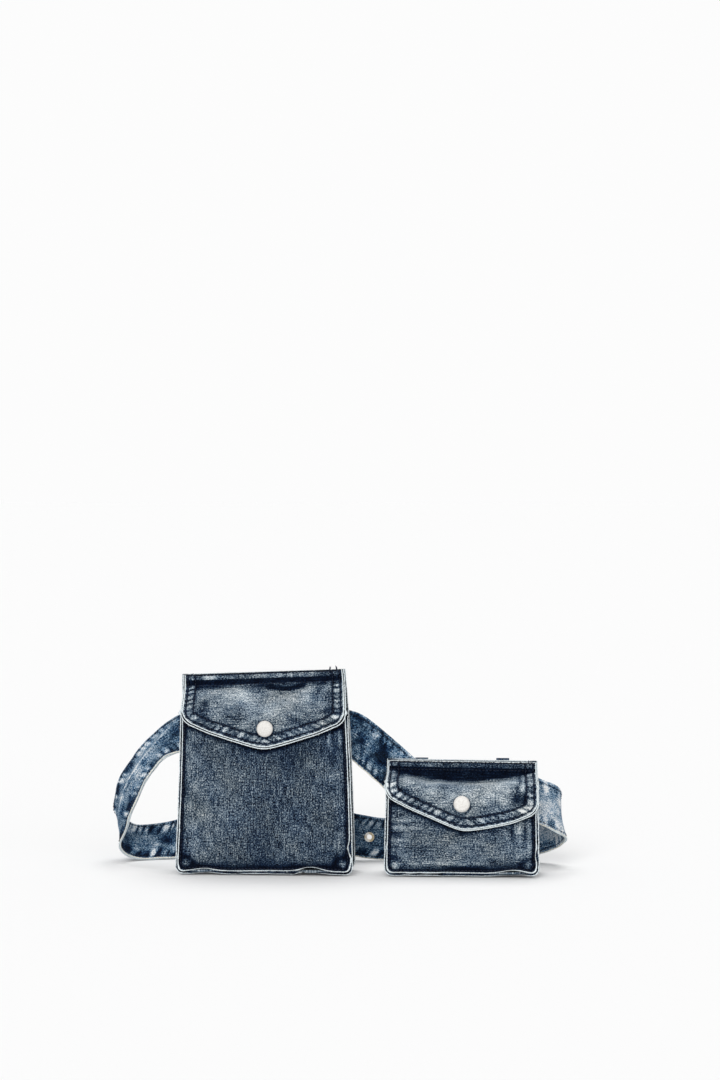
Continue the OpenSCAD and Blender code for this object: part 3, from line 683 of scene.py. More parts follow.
def front_shape(p):
    g = outline_grid(p, p.hem, trim)
    x, z, inset, seed = g.x, g.z, g.inset, p.seed
    free = ease(4, 30, inset) * ease(2, 40, p.hem - z) * (1 - hump(np.hypot(x, z - p.snap), 0, 20))
    lip = np.clip(1 - inset / front_seam, 0, 1)
    out = free * (p.puff + 1.6 * clouds(x, z, 46, seed + 2) + 0.5 * clouds(x, z, 17, seed + 3))
    out += 0.5 * waves(g.run, 6, seed + 4) * hump(inset, front_seam + 3.5, 4) * ease(0, 8, p.hem - z)
    out += lip * seam_wave(p, x, z) - hump(inset, front_seam + 0.3, 1.2)
    lift = arch(p, x) * np.clip(1 - g.low / 14, 0, 1) ** 1.5
    curl = lip * (x > 0) * sum(move * hump(z, at, wide) for at, wide, move in p.curls)
    return g, np.stack([p.x + x + lean(p, z) + curl, p.y + z * p.slope - out, z + lift], -1)


proud = [round(p.y - front_shape(p)[1][..., 1].min(), 1) for p in pouches]
print("fronts stand proud of the CAD model by", proud, "mm")

# %% [markdown]
# Dye stays black along the seam, the cloth is darker just above the base, and the stones leave pale tufts where
# the corners gather. Under the flap the cloth is paler. Below the flap's edge a painted shadow of the flap
# darkens it, with a broader painted shade over the part of the front that leads up to the flap. Noise alone
# gives an even mottle, so the larger smudges and pale creases are placed one by one.

# %% Where the fronts are worn
# Marks: across, up, half width and half height in mm, and how much paler or darker. Warp: 1 where the warp runs
# upright, -1 where it runs across.
big.set(warp=1, askew=0, tone=0.265, tufts=(0.12, 0.42), marks=[
    (60, 123, 1.6, 8, 0.3), (70, 124, 1.6, 8, 0.32), (65, 116, 2, 10, -0.12), (-70, 119, 4, 10, 0.13),
    (-66, 30, 5, 9, 0.12), (-62, 84, 6, 8, 0.07), (-30, 60, 14, 9, 0.04), (66, 70, 5, 16, 0.06)])
small.set(warp=-1, askew=6.5, tone=0.37, tufts=(0.42, 0.1), marks=[
    (-52, 51, 14, 1.6, 0.26), (-50, 44, 17, 1.5, 0.24), (-58, 47.5, 12, 1.2, -0.2), (-56, 33, 8, 1.8, 0.22),
    (-60, 39, 6, 2.4, -0.22), (-58, 27, 7, 2.2, -0.18), (46, 42, 1.8, 14, -0.2), (52.5, 43, 2.4, 13, 0.26),
    (58, 40, 1.8, 14, -0.24), (62, 30, 2, 20, 0.16), (65.5, 30, 2, 26, -0.26), (-12, 12.5, 38, 1.9, 0.24),
    (-4, 8, 14, 2, -0.2), (-40, 25, 14, 5, -0.12), (44, 12, 18, 4, -0.16)])
print("marks on the fronts:", [len(p.marks) for p in pouches])


# %% The wear and painted shade of a front
def front_wash_and_shade(p, g):
    x, z, side, low, inset, seed = g.x, g.z, g.side, g.low, g.inset, p.seed
    wash = p.tone + 0.05 * clouds(x, z, 26, seed + 7) + 0.05 * ease(-10, -70, x)
    # Darker up towards the flap's edge: a broad painted shade under the flap.
    wash -= 0.08 * ease(p.hem - 62, p.hem - 30, z)
    wash += 0.13 * hump(side, 11, 7) * (0.3 + clouds(x, z, 9, seed + 8))
    across = 2 * x / p.flap_width
    edge = p.fold - p.flap_point + (p.flap_point - p.flap_side) * np.abs(across) - p.askew * across
    # Paler under the flap; just below its edge the cloth is darkened as a painted shadow of the flap.
    wash += 0.2 * ease(edge + 3, edge + 16, z) - 0.3 * ease(edge - 7, edge + 1, z)
    base, rim = np.maximum(low - front_seam - 2.5, 0), np.maximum(side - front_seam - 0.5, 0)
    wash -= 0.3 * np.exp(-base / 4.5) * (0.85 + 0.3 * waves(x, 14, seed + 9)) + 0.24 * np.exp(-rim / 1.2)
    corner = np.hypot(side - 7, low - 7.5)
    wash += np.where(x < 0, *p.tufts) * hump(corner, 0, 3.2) - 0.22 * hump(corner, 7.5, 3)
    wash = smudged(wash, x, z, p.marks)
    wash = np.where(inset < front_seam - 0.9, 0.14 + 0.14 * waves(g.run, 3.5, seed + 10), wash)
    return (wash * (1 - 0.92 * hump(inset, front_seam + 0.1, 1.1))).clip(0.02, 0.95)


print("fronts washed to", [front_wash_and_shade(p, front_shape(p)[0]).mean().round(2) for p in pouches], "on average")

# %% Both fronts
raw_line, hem_turn = 0.95, 6


def front_panel(p):
    g, face = front_shape(p)
    fray = np.clip(1.15 - g.inset / raw_line, 0, 1)
    # The mouth hem is turned in, so the cloth is double there.
    thick = cloth + cloth * ease(p.hem - hem_turn - 0.6, p.hem - hem_turn + 0.4, g.z)
    panel, normal = sew(p.name + "_front_cloth", face, np.stack([g.x, g.z][::p.warp], -1), front_wash_and_shade(p, g), fray,
                        thick, pouch_layers, rims=(2, 2, 0, 2))
    on, needle = spots(g.us, g.vs, face, normal), Needle(p.name + "_front", p.seed)
    for u, v in (seam_path(p, p.hem, front_seam), (np.linspace(-0.93, 0.93, 80), 1 - 5 / p.hem)):
        needle.row(*on(u, v))
    down, base = np.linspace(0.97, 0.07, 200), np.linspace(-0.96, 0.96, 200)
    fray_edges(needle, on, ((-1, down, (-1, 0, 0)), (base, 0, (0, -0.3, -0.6)), (1, down, (1, 0, 0))), cloth / 2,
               gap=2.4, length=1.0)
    settle_on_pouch(p, panel, needle, "front_panel")


for p in pouches:
    front_panel(p)

# %% [markdown]
# The gusset is one long strip that makes both sides and the base. Its two long edges turn outwards and are sewn
# to the front and the back panel, which gives the doubled raw edges all round. A curve with a bevel profile would
# twist at the corners, so its course is a U of points with their outward directions, and each point carries the
# same section: front lip, wall, back lip.

# %% The course of a gusset
def gusset_course(p, step=1.5):
    half, r = p.width / 2 - seam_edge, corner_r
    side = np.linspace(p.hem, outer_r, int((p.hem - outer_r) / step))
    turn = np.radians(np.linspace(0, 90, 9)[1:-1])
    base = np.linspace(half - r, r - half, int(2 * (half - r) / step))
    wall = np.stack([half - p.taper * side, side, 1 + 0 * side, 0 * side], -1)
    corner = np.stack([half - r + r * np.cos(turn) - p.taper * outer_r, outer_r - r * np.sin(turn), np.cos(turn),
                       -np.sin(turn)], -1)
    bottom = np.stack([base, seam_edge + 0 * base, 0 * base, 0 * base - 1], -1)
    right_half = np.concatenate([wall, corner])
    return np.concatenate([right_half, bottom, right_half[::-1] * (-1, 1, -1, 1)])


print("gussets run for", [round(reach_of(gusset_course(p)[:, :2])[-1]) for p in pouches], "mm")

# %% Both gussets
lip_steps, wall_count = np.array([4, 3.4, 2.7, 2, 1.3, 0.7, 0.25]), 24


def gusset(p):
    course, seed = gusset_course(p), p.seed + 20
    px, pz, nx, nz = course.T
    run = reach_of(course[:, :2])
    lips = len(lip_steps)
    # o is how far a point of the section stands out, c its place from front (0) to back (1).
    o = np.concatenate([lip_steps, np.zeros(wall_count), lip_steps[::-1]])[:, None] + 0 * px
    c = np.concatenate([np.zeros(lips), np.linspace(0, 1, wall_count), np.ones(lips)])[:, None] + 0 * px
    front = pz * p.slope + 2 * cloth * p.steep
    y = front + (depth - 2 * cloth - front) * c
    top = np.where(pz > outer_r, (pz - outer_r) / (p.hem - outer_r), 0)
    puff = (1.4 * ease(0, 30, pz) + clouds(run, y, 22, seed)) * np.sin(math.pi * c) * ease(1.02, 0.7, top)
    puff = np.where(o > 0, 0, puff)
    x, z = px + nx * (o + puff), pz + nz * (o + puff) + top * gusset_rise * c
    lip, before = o / seam_edge, c < 0.5
    wave = np.where(before, -lip * seam_wave(p, x, z), 0.7 * lip * waves(run, 9, seed + 1))
    z = z + before * lip * np.clip(-nz, 0, 1) * 0.62 * arch(p, x)
    face = np.stack([p.x + x + lean(p, z), p.y + y + wave, np.maximum(z, 2 * floor_clear)], -1)
    wash = 0.34 + 0.07 * clouds(run, y + wave, 14, seed + 2) - 0.18 * hump(np.minimum(c, 1 - c), 0, 0.07)
    wash = np.where(o > 0.3, 0.1 + 0.08 * waves(run, 3.5, seed + 3), wash).clip(0.02, 0.9)
    flat = np.stack([y + wave + np.where(before, -o, o), run + 0 * y], -1)
    fray = np.clip(1.1 - (seam_edge - o) / raw_line, 0, 1)
    piece, _ = sew(p.name + "_gusset_cloth", face, flat, wash, fray, cloth, double_layers,
                   rims=(2, 0, 2, 0), reverse=np.where(o > 0.3, wash, 0.5))
    needle = Needle(p.name + "_gusset", seed)
    for row, lift in ((0, -1.0), (-1, 1.0)):
        needle.fray(face[row], np.stack([nx, 0 * nx, nz], -1), np.array([0, lift, 0]), gap=2, length=1)
    settle_on_pouch(p, piece, needle, "gusset")


for p in pouches:
    gusset(p)

# %% [markdown]
# The back panel is cut like the front, but runs up to the top, where the flap is sewn on. The belt slides along
# it, so it stays nearly flat. Where the belt's edges rub, two faint pale lines run across. A flat plate would do
# behind the belt, but the back shows too when the pack is turned round, so its seams and its wear are made as on
# the front.

# %% Back panels
big.set(tilt=3.0, rise=2.2, raw_top=0.3)
small.set(tilt=-0.6, rise=2.2, raw_top=1.3)


def back_panel(p):
    height, seed = p.height, p.seed + 30
    g = outline_grid(p, height, mirror=-1)
    x, z, inset = g.x, g.z, g.inset
    out = 0.25 * clouds(x, z, 30, seed) * ease(4, 20, inset) - 0.5 * hump(inset, seam_edge + 0.4, 1.2)
    out += np.clip(1 - inset / seam_edge, 0, 1) * 0.5 * waves(g.run, 9, seed + 1) - 0.3
    z = z + (p.rise + p.raw_top + p.tilt * (x / p.width) * 2) * ease(0.6, 1, z / height)
    face = np.stack([p.x + x + lean(p, z), p.y + depth + out, z], -1)
    wash = 0.33 + 0.06 * clouds(x, z, 26, seed + 2)
    wash += 0.08 * hump(z, p.belt_z - 24, 6) + 0.05 * hump(z, p.belt_z + 23, 4)
    wash -= 0.2 * np.exp(-np.maximum(inset - seam_edge, 0) / 3) + 0.12 * hump(z, height - 1, 3)
    wash = np.where(inset < seam_edge, 0.25 + 0.15 * waves(g.run, 3.5, seed + 3), wash)
    wash = (wash - 0.25 * hump(inset, seam_edge + 0.6, 0.9)).clip(0.03, 0.9)
    fray = np.clip(1 - np.minimum(inset, (height - g.low) + 0.2) / raw_line, 0, 1)
    panel, normal = sew(p.name + "_back_cloth", face, np.stack([x, z], -1), wash, fray, cloth,
                        pouch_layers, reverse=0.05 + 0.4 * ease(2, 8, inset))
    on, needle = spots(g.us, g.vs, face, normal), Needle(p.name + "_back", seed)
    needle.row(*on(*seam_path(p, height, seam_edge + 0.7)))
    for drop in (2.2, p.band - 1):
        needle.row(*on(np.linspace(-0.95, 0.95, 120), 1 - drop / height))
    down, base = np.linspace(0.99, 0.06, 200), np.linspace(-0.96, 0.96, 200)
    fray_edges(needle, on, ((-1, down, (1, 0, 0)), (base, 0, (0, 0.3, -0.6)), (1, down, (-1, 0, 0)),
                            (base, 1, (0, 0, 1))), -cloth / 2, gap=2.2, length=1.1)
    settle_on_pouch(p, panel, needle, "back_panel")


for p in pouches:
    back_panel(p)

# %% [markdown]
# A flap is two layers: the outer one and its facing, sewn together near the raw V edge. Its top is sewn flat to
# the back panel as a band. Just below the band the cloth stays back in a groove, then it bows forward over the
# mouth and hangs down the front, held by the snap. Draping a sheet over the mouth would lose the groove, so each
# column of the grid follows its own profile, which is drawn with straight lines and then rounded.

# %% Flap profiles
flap_gap, knee_rise, hem_drawn, profile_step = 4, 3, 3.2, 0.4
big.set(bow=3.2, groove=lambda u: 12.4 + 6.0 * np.maximum(0, 1 - ((u - 0.29) / 0.28) ** 2) ** 0.8)
small.set(bow=2.4, groove=lambda u: 9.4 + 7.4 * np.cos(np.clip(u, -1, 1) * math.pi / 2) ** 1.2)


def flap_edge(p, x, grow, r=9):
    half = p.flap_width / 2 + grow
    # The stitching has drawn the hem up.
    side, point = (p.fold - drop + hem_drawn for drop in (p.flap_side, p.flap_point))
    soft = np.sqrt(x * x + 64) - 8 * ease(half, 0.6 * half, np.abs(x))
    z = point + (side - point) * soft / half - p.askew * np.sin(x / half * math.pi / 2)
    bent = np.clip(np.abs(x) - (half - r), 0, r)
    return z - 1.05 * grow + r - np.sqrt(np.maximum(r * r - bent ** 2, 0))


def flap_column(p, u):
    knee, off = p.hem + knee_rise, (flap_gap + 2 * cloth) * p.steep
    band = depth - 3 * cloth - 0.1
    top = p.height + p.rise + p.tilt * u
    rim = top - p.groove(u)
    bow = p.bow * (1 - 0.8 * u * u)
    corners = [(band, top), (band, top - 4.4), (band + 0.8, top - 6), (band + 0.9, rim + 1.5),
               (band + 0.2, rim - 0.3), (band - 2.8, rim - 2.2),
               (knee * p.slope - off + 5, min(knee + 5.5 + 0.2 * bow, rim - 3.2)),
               (knee * p.slope - off - 0.6 * bow, min(knee + 0.5, rim - 6))]
    corners += [(z * p.slope - off - more, z) for z, more in (
        (knee - 9, bow), (p.snap + 6, 0.5 * bow), (p.snap - 8, 0.1 * bow), (0, 0))]
    corners = np.array(corners, float)
    reach = reach_of(corners)
    line = taken_at(np.arange(0, reach[-1], profile_step), reach, corners)
    kernel = hump(np.arange(-12, 13) * profile_step, 0, 2.0)
    padded = np.concatenate([2 * line[0] - line[12:0:-1], line, 2 * line[-1] - line[-2:-14:-1]])
    return np.stack([np.convolve(side, kernel / kernel.sum(), "valid") for side in padded.T], -1)


print("flap profiles in mm:", [round(reach_of(flap_column(p, 0))[-1]) for p in pouches])


# %% The grid of a flap
def flap_grid(p, grow, inward):
    half, tallest = p.flap_width / 2 + grow, p.flap_point + p.band + 22
    near = (0, 0.5, 1, 1.5, 2, 2.5, 3, 3.5, 4.2, 5, 6, 7, 8, 8.8, 9.4, 10, 10.6, 11.2, 12)
    us, vs = (ladder(2 * half, 1.25, near) - half) / half, ladder(tallest, 1.1, near) / tallest
    points, lengths = np.zeros((len(vs), len(us), 3)), np.zeros(len(us))
    for j, (u, end) in enumerate(zip(us, flap_edge(p, us * half, grow))):
        line = flap_column(p, u)
        reach = reach_of(line)
        low = np.argmax(line[:, 1] < end)
        lengths[j] = np.interp(end, line[low:low - 2:-1, 1], reach[low:low - 2:-1])
        # Row 0 of the grid is the V edge and the last row is the top.
        points[:, j, 0] = u * half * (1 - 0.018 * vs)
        points[:, j, 1:] = taken_at((1 - vs) * lengths[j], reach, line)
    normal = facing_out(points)
    return us, vs, points - normal * inward, normal, lengths, half


print("flaps are cut", [round(flap_grid(p, 0, 0)[4].max(), 1) for p in pouches], "mm long")

# %% [markdown]
# On top of the profile come the puckers between the two stitch rows, the dips along the rows, a broad bulge or
# two and the flare of the raw edge. Round the snap the cloth lies flat, because the cap and the socket clamp it.
# The facing uses the same shape, one cloth thickness further in. All this could be sculpted by hand, but a
# formula of the distance from the edge gives the same flap in every run, and fits both flaps.

# %% The shape of a flap
hem_rows, band_clear = (2.9, 10.0), 2.2


def flap_shape(p, grow, inward):
    us, vs, points, normal, lengths, half = flap_grid(p, grow, inward)
    u, v = np.meshgrid(us, vs)
    seed, first, second = p.seed + 40, *hem_rows
    x, down = points[..., 0], (1 - v) * lengths
    tip = math.cos(math.atan((p.flap_point - p.flap_side) / half))
    low, side = v * lengths * tip, (1 - np.abs(u)) * half
    inset = np.maximum(-1.5 * np.log(np.exp(-low / 1.5) + np.exp(-side / 1.5)), 0)
    run = round_edge(x, v * lengths)
    calm = 1 - hump(np.hypot(x, points[..., 2] - p.snap), 0, 13)
    body = ease(p.band + 2, p.band + 14, down) * ease(8, 22, inset)
    pucker = patches(run + 0.25 * inset, 6.0, seed, least=0.3, uneven=0.27)
    hemmed = ease(second, second - 1.5, inset) * ease(first, first + 1.2, inset)
    bulge = (0.9 * clouds(x, down, 30, seed + 1) + 0.35 * clouds(x, down, 11, seed + 2)) * body
    bulge += (0.9 * pucker - 0.3) * hemmed - 0.5 * hump(inset, first, 0.8) - 0.5 * hump(inset, second, 0.9)
    bulge += 0.3 * ease(2.2, 1.3, inset) + 0.35 * waves(x, 7, seed + 3) * hump(down, 3.2, 2)
    flare = 0.8 * waves(run, 15, seed + 4) * ease(7, 0, inset) * ease(p.band, p.band + 15, down)
    shape = points + normal * (bulge * calm + flare)[..., None]
    shape[..., 0] += lean(p, shape[..., 2])
    from_snap = np.hypot(shape[..., 0], shape[..., 2] - p.snap)
    seat = ease(17, 9, from_snap)
    level = shape[..., 2] * p.slope - (flap_gap + 2 * cloth - inward - 0.1) * p.steep
    # No layer may come through the back panel that the band is sewn to.
    shape[..., 1] = np.minimum(shape[..., 1] * (1 - seat) + level * seat, depth - band_clear)
    drop = p.height + p.rise + p.tilt * u - points[..., 2]
    return SimpleNamespace(us=us, vs=vs, face=shape + np.array([p.x, p.y, 0]), x=x, u=u, down=down, drop=drop,
                           run=run, inset=inset, from_snap=from_snap, pucker=pucker, lengths=lengths, tip=tip,
                           half=half, seed=seed)


behind = [round(flap_shape(p, 0, 0).face[..., 1].min() - p.y, 1) for p in pouches]
print("flaps hang", behind, "mm further back than the foot of the front")

# %% [markdown]
# The look of a flap: pale where it bows forward, black in the groove under the band, partly from unfaded dye
# and partly as painted shade, with more painted shade fading out below the groove, dark along both stitch rows,
# and light blobs on the puckers between the rows. A grime mask from the mesh's own hollows would find the
# groove, but not how sharp its edges are, so groove, streaks and blobs are each drawn from the same measures as
# the shape.

# %% Wear and painted light on the flaps
# Lip and sill: how far down the groove's dark part, unfaded dye and painted shade, starts and ends, in mm. Of
# the two values after sill, the first is over how many mm below the groove its painted shade fades out, and the
# second, shade, makes that painted shade reach further down in the middle. Marks are as on the fronts, with
# their heights counted down from the top. On the big flap the marks at -44 and -6 are painted shade under the
# band, and the pale mark at 25 is a painted highlight on the groove's lower lip.
big.set(flap_tone=0.49, lip=5.4, sill=10.6, fade=5, shade=0, hem_base=0.17, hem_tone=0.58, flap_marks=[
    (-53.5, 26, 3.5, 6, -0.32), (-59, 32, 2.5, 4, -0.25), (-44, 12, 12, 2.5, -0.2), (-6, 15, 13, 3, -0.16),
    (25, 18, 18, 1.2, 0.24), (-17, 22, 18, 7, 0.08), (31, 22, 16, 5, 0.1), (56, 8, 3, 5, -0.3), (51, 18, 3, 5, -0.22),
    (61, 24, 5, 6, -0.26), (60, 12, 3, 3, 0.15), (60, 35, 7, 4, -0.3), (-54, 36, 4, 5, -0.2), (-28, 40, 14, 4, -0.1),
    (26, 43, 16, 4, -0.1)],
    hem_marks=[(-70, 41, 2.8, 5, 0.35), (68, 42, 5, 2.2, 0.4), (-6, 63, 3, 1.6, 0.3), (4, 63, 3, 1.6, 0.3)],
    streak=lambda u: (0.42 + 0.24 * hump(u, -0.7, 0.08) + 0.14 * hump(u, 0.35, 0.4) - 0.08 * hump(u, -0.4, 0.15)
                      - 0.24 * hump(u, -0.8, 0.05) - 0.28 * hump(u, 0.78, 0.09)))
small.set(flap_tone=0.56, lip=5.4, sill=99, fade=9, shade=2.4, hem_base=0.18, hem_tone=0.72, flap_marks=[
    (53, 15, 1.6, 4, -0.34), (51, 21, 1.6, 4, -0.34), (56.5, 19, 2.6, 5, 0.14), (50, 31, 6, 7, -0.42),
    (59, 31, 4, 6, -0.34), (-57, 23, 4, 3, -0.32), (-50, 26, 5, 3, -0.34), (-43, 31, 5, 2.6, -0.32),
    (-56, 11, 2, 4, -0.24), (-4, 21, 20, 3, -0.14), (0, 27, 14, 2, 0.1), (-28, 24, 12, 6, 0.08),
    (22, 38, 14, 3, -0.12)],
    hem_marks=[(64, 38, 3, 5, 0.4), (59, 43, 5, 2, 0.4), (-66, 24, 2.5, 5, 0.36), (-65, 12.5, 3, 3, 0.36)],
    streak=lambda u: (0.18 + 0.4 * hump(u, 0.88, 0.06) + 0.4 * hump(u, -0.92, 0.06) + 0.1 * hump(u, -0.5, 0.3)))
print("marks on the flaps:", [len(p.flap_marks + p.hem_marks) for p in pouches])

# %% The wear and painted shade of a flap
cap_r = 7.5


def over(wash, cover, tone):
    return wash * (1 - cover) + cover * tone


def flap_wash_and_shade(p, g):
    seed, x, u, down, inset = g.seed, g.x, g.u, g.down, g.inset
    hang = (down - p.band) / (g.lengths - p.band)
    wash = p.flap_tone + 0.13 * clouds(x, down, 22, seed + 5) + 0.09 * clouds(x, down, 8, seed + 6)
    wash -= 0.11 * ease(0.45, 0.95, hang)
    edge = p.groove(u) + p.shade * (1 - u * u) + 0.6 * waves(x, 9, seed + 9)
    sill = np.minimum(edge, p.sill + 0.6 * waves(x, 11, seed + 11))
    # Painted shade from the groove, fading out below it.
    wash = smudged(wash - 0.26 * ease(edge + p.fade, edge, down), x, g.drop, p.flap_marks)
    # The groove is painted near black: partly unfaded dye in the fold, partly painted shade.
    dark = ease(sill + 0.9, sill - 0.8, down) * ease(p.lip - 0.7, p.lip + 0.7, down)
    lens = ease(edge + 0.7, edge - 0.8, down) * ease(edge - 6, edge - 3.6, down) * ease(sill + 1.5, sill + 4, edge)
    dark = np.maximum(dark, lens)
    wash = over(wash, dark, 0.05 + 0.025 * waves(x, 4, seed + 10))
    wash = over(wash, ease(p.lip + 0.7, p.lip - 0.7, down), 0.1 + p.streak(u) * (0.75 + 0.4 * waves(x, 5, seed + 7)))
    first, second = hem_rows
    wash = over(wash, ease(second + 0.6, second - 0.6, inset) * (1 - dark),
                p.hem_base + p.hem_tone * g.pucker + 0.08 * waves(g.run - inset, 2.2, seed + 8))
    wash = smudged(wash, x, g.drop, p.hem_marks)
    # A ring of painted shade lies in the cloth round the cap's rim, where the cap shades it.
    wash *= 1 - 0.8 * hump(g.from_snap, cap_r + 0.3, 0.9)
    lines = np.maximum(hump(inset, first, 1.0), hump(inset, second, 1.2))
    return (wash * (1 - 0.92 * np.maximum(lines, ease(1.9, 1.0, down)))).clip(0.02, 0.95)


def facing_wash_and_shade(p, g):
    # The side that shows when the flap is open: darker where it was folded, partly less washed and
    # partly painted shade in the fold.
    wash = 0.36 + 0.08 * clouds(g.x, g.down, 24, g.seed + 6) - 0.34 * ease(p.band + 31, p.band + 19, g.down)
    lines = np.maximum(*(hump(g.inset, row + p.rim_step, 0.8) for row in hem_rows))
    return (wash * (1 - 0.6 * lines)).clip(0.03, 0.9)


print("flaps washed to", [flap_wash_and_shade(p, flap_shape(p, 0, 0)).mean().round(2) for p in pouches], "on average")

# %% [markdown]
# Now both layers are sewn, with two rows of stitches along the hem, two along the band, and a few loose thread
# ends that stand up from the top corners. A flap could be cut in two at its fold, but real cloth bends there: so
# its meshes stay whole and are fixed in the scene, not hung on a body.

# %% Sewing a flap
edge_frayed = 0.9
# Loose thread ends: place across in half widths, and height in mm.
big.set(rim_step=1.7, top_fray=0.3, ends=((0.835, 4.8), (0.84, 4.2), (0.93, 5), (0.935, 4.4), (-0.9, 2.4)))
small.set(rim_step=1.1, top_fray=0.5, ends=((0.89, 3.5), (0.93, 2.5), (0.8, 2)))


def hem_row(g, inset, top=0.985):
    turn = 1 - (inset + 2.5) / g.half
    u, edge = np.linspace(-turn, turn, 300), np.full(120, 1 - inset / g.half)
    v = inset / (np.interp(u, g.us, g.lengths) * g.tip)
    rise = np.linspace((inset + 3) / (np.interp(turn, g.us, g.lengths) * g.tip), top, 120)
    return np.concatenate([-edge, u, edge]), np.concatenate([rise[::-1], v, rise])


def sew_flap(p, g, h):
    """Sews the outer layer g and the facing h."""
    frayed, under_frayed = (np.clip(1.3 - layer.inset / edge_frayed, 0, 1) for layer in (g, h))
    frayed = np.maximum(frayed, p.top_fray * np.clip(1 - g.down / 1.4, 0, 1))
    outer, normal = sew(p.name + "_flap_cloth", g.face, np.stack([-g.down, g.x], -1), flap_wash_and_shade(p, g), frayed, cloth,
                        pouch_layers)
    facing, under = sew(p.name + "_facing_cloth", h.face, np.stack([h.x, -h.down], -1), np.full(h.x.shape, 0.05),
                        under_frayed, cloth, double_layers, reverse=facing_wash_and_shade(p, h))
    on, below = spots(g.us, g.vs, g.face, normal), spots(h.us, h.vs, h.face, -under)
    needle = Needle(p.name + "_flap", g.seed)
    for row in hem_rows:
        needle.row(*on(*hem_row(g, row)))
    across = np.linspace(-0.985, 0.985, 200)
    for down in (1.6, p.band - 1):
        needle.row(*on(across, 1 - down / np.interp(across, g.us, g.lengths)))
    for u, tall in p.ends:
        needle.end(on([u], 0.985)[0], tall)
    for row in hem_rows:
        line, out = below(*hem_row(h, row + p.rim_step, 0.72))
        needle.row(line + out * cloth, out)
    edge, rise = np.linspace(-0.96, 0.96, 380), np.linspace(0.04, 0.8, 150)
    for layer in (on, below):
        fray_edges(needle, layer, ((edge, 0, (0, 0, -1)), (-1, rise, (-1, 0, 0)), (1, rise, (1, 0, 0))), cloth / 2,
                   gap=0.9, length=0.8)
    return [outer, facing] + needle.make()


print("loose thread ends:", [len(p.ends) for p in pouches])

# %% Both flaps
facing_gap, flap_roll = 0.15, 1.4


def flap(p):
    g, h = flap_shape(p, 0, 0), flap_shape(p, p.rim_step, cloth + facing_gap)
    pieces = sew_flap(p, g, h)
    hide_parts(p.name + "_flap_outer", p.name + "_flap_band")
    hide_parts(p.name + "_flap_facing")
    for piece in pieces:
        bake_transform(piece)
    print(p.name, "flap is now", [piece.name for piece in pieces])


for p in pouches:
    flap(p)

# %% [markdown]
# Belt loops are short strips with folded edges, sewn to the back with a dense bar of stitches at each end. They
# could be bent from a flat strip with a curve modifier; a grid swept along seven corners is shorter and keeps the
# wear on the folded edges.

# %% Belt loops
loop_width, loop_thick, loop_tab, belt_thick, bar_row = 12, 1.6, 6, 2.4, 3.2
narrow_stitch = {"pitch": 2.9, "length": 2.3}
# A little more room than in the CAD model, because the belt is puckered and its stitches stand proud.
loop_spare = 0.6


def belt_loop(p, side, label):
    node, seed = "belt_loop_" + label, p.seed + 50 + (side > 0)
    gap = belt_thick + 2 * slack + loop_thick + loop_spare
    low = p.belt_z + p.loop_lift - p.loop_room / 2
    high = low + p.loop_room
    corners = np.array([(loop_thick, low - loop_tab), (loop_thick, low - 1.9), (gap, low - 0.7),
                        (gap + 0.5, (low + high) / 2), (gap, high + 0.7), (loop_thick, high + 1.9),
                        (loop_thick, high + loop_tab)])
    reach = reach_of(corners)
    long = reach[-1]
    us = np.array([-1, -0.93, -0.8, -0.6, -0.35, 0, 0.35, 0.6, 0.8, 0.93, 1])
    vs = ladder(long, 1.0) / long
    u, far = np.meshgrid(us, vs * long)
    line = taken_at(far, reach, corners)
    crown = 0.35 * (1 - np.abs(u) ** 4) - 0.45 + 0.2 * waves(far, 5, seed) * np.abs(u)
    face = np.stack([p.x + side * p.loop_pitch / 2 - u * loop_width / 2, p.y + depth + line[..., 0] + crown,
                     line[..., 1]], -1)
    wash = 0.2 + 0.22 * ease(0.55, 0.95, np.abs(u)) * (0.6 + 0.5 * waves(far, 4, seed + 1))
    wash += 0.1 * clouds(6 * u, far, 8, seed + 2) - 0.1 * hump(np.abs(u), 0.62, 0.12)
    wash = (wash + 0.12 * hump(np.minimum(far, long - far), 8, 2.5)).clip(0.03, 0.9)
    piece, normal = sew(f"{p.name}_{node}_cloth", face, np.stack([6 * u, far], -1), wash, 0 * u, loop_thick - 0.1,
                        loop_layers, rims=(0, 0, 0, 0), reverse=0.14)
    on, needle = spots(us, vs, face, normal), Needle(f"{p.name}_{node}", seed)
    for across in (-0.6, 0.6):
        needle.row(*on(across, np.linspace(0.02, 0.98, 60)), **narrow_stitch)
    for end in (bar_row, long - bar_row):
        for step in np.linspace(-1.2, 1.2, 5):
            needle.row(*on(np.linspace(-0.85, 0.85, 20), (end + step) / long), pitch=2.0, length=2.1)
    settle_on_pouch(p, piece, needle, node)


for p in pouches:
    for side, label in ((-1, "left"), (1, "right")):
        belt_loop(p, side, label)

# %% [markdown]
# The belt is a strip of denim folded lengthwise, with a row of stitches along each edge. It stands on edge, so
# its course matters most. A Blender curve could carry it, but the strip would twist on its own at each turn. So
# the course is a list of points in mm, each with a lean in degrees. It follows the CAD model's course, with a
# wider left turn that leans more.

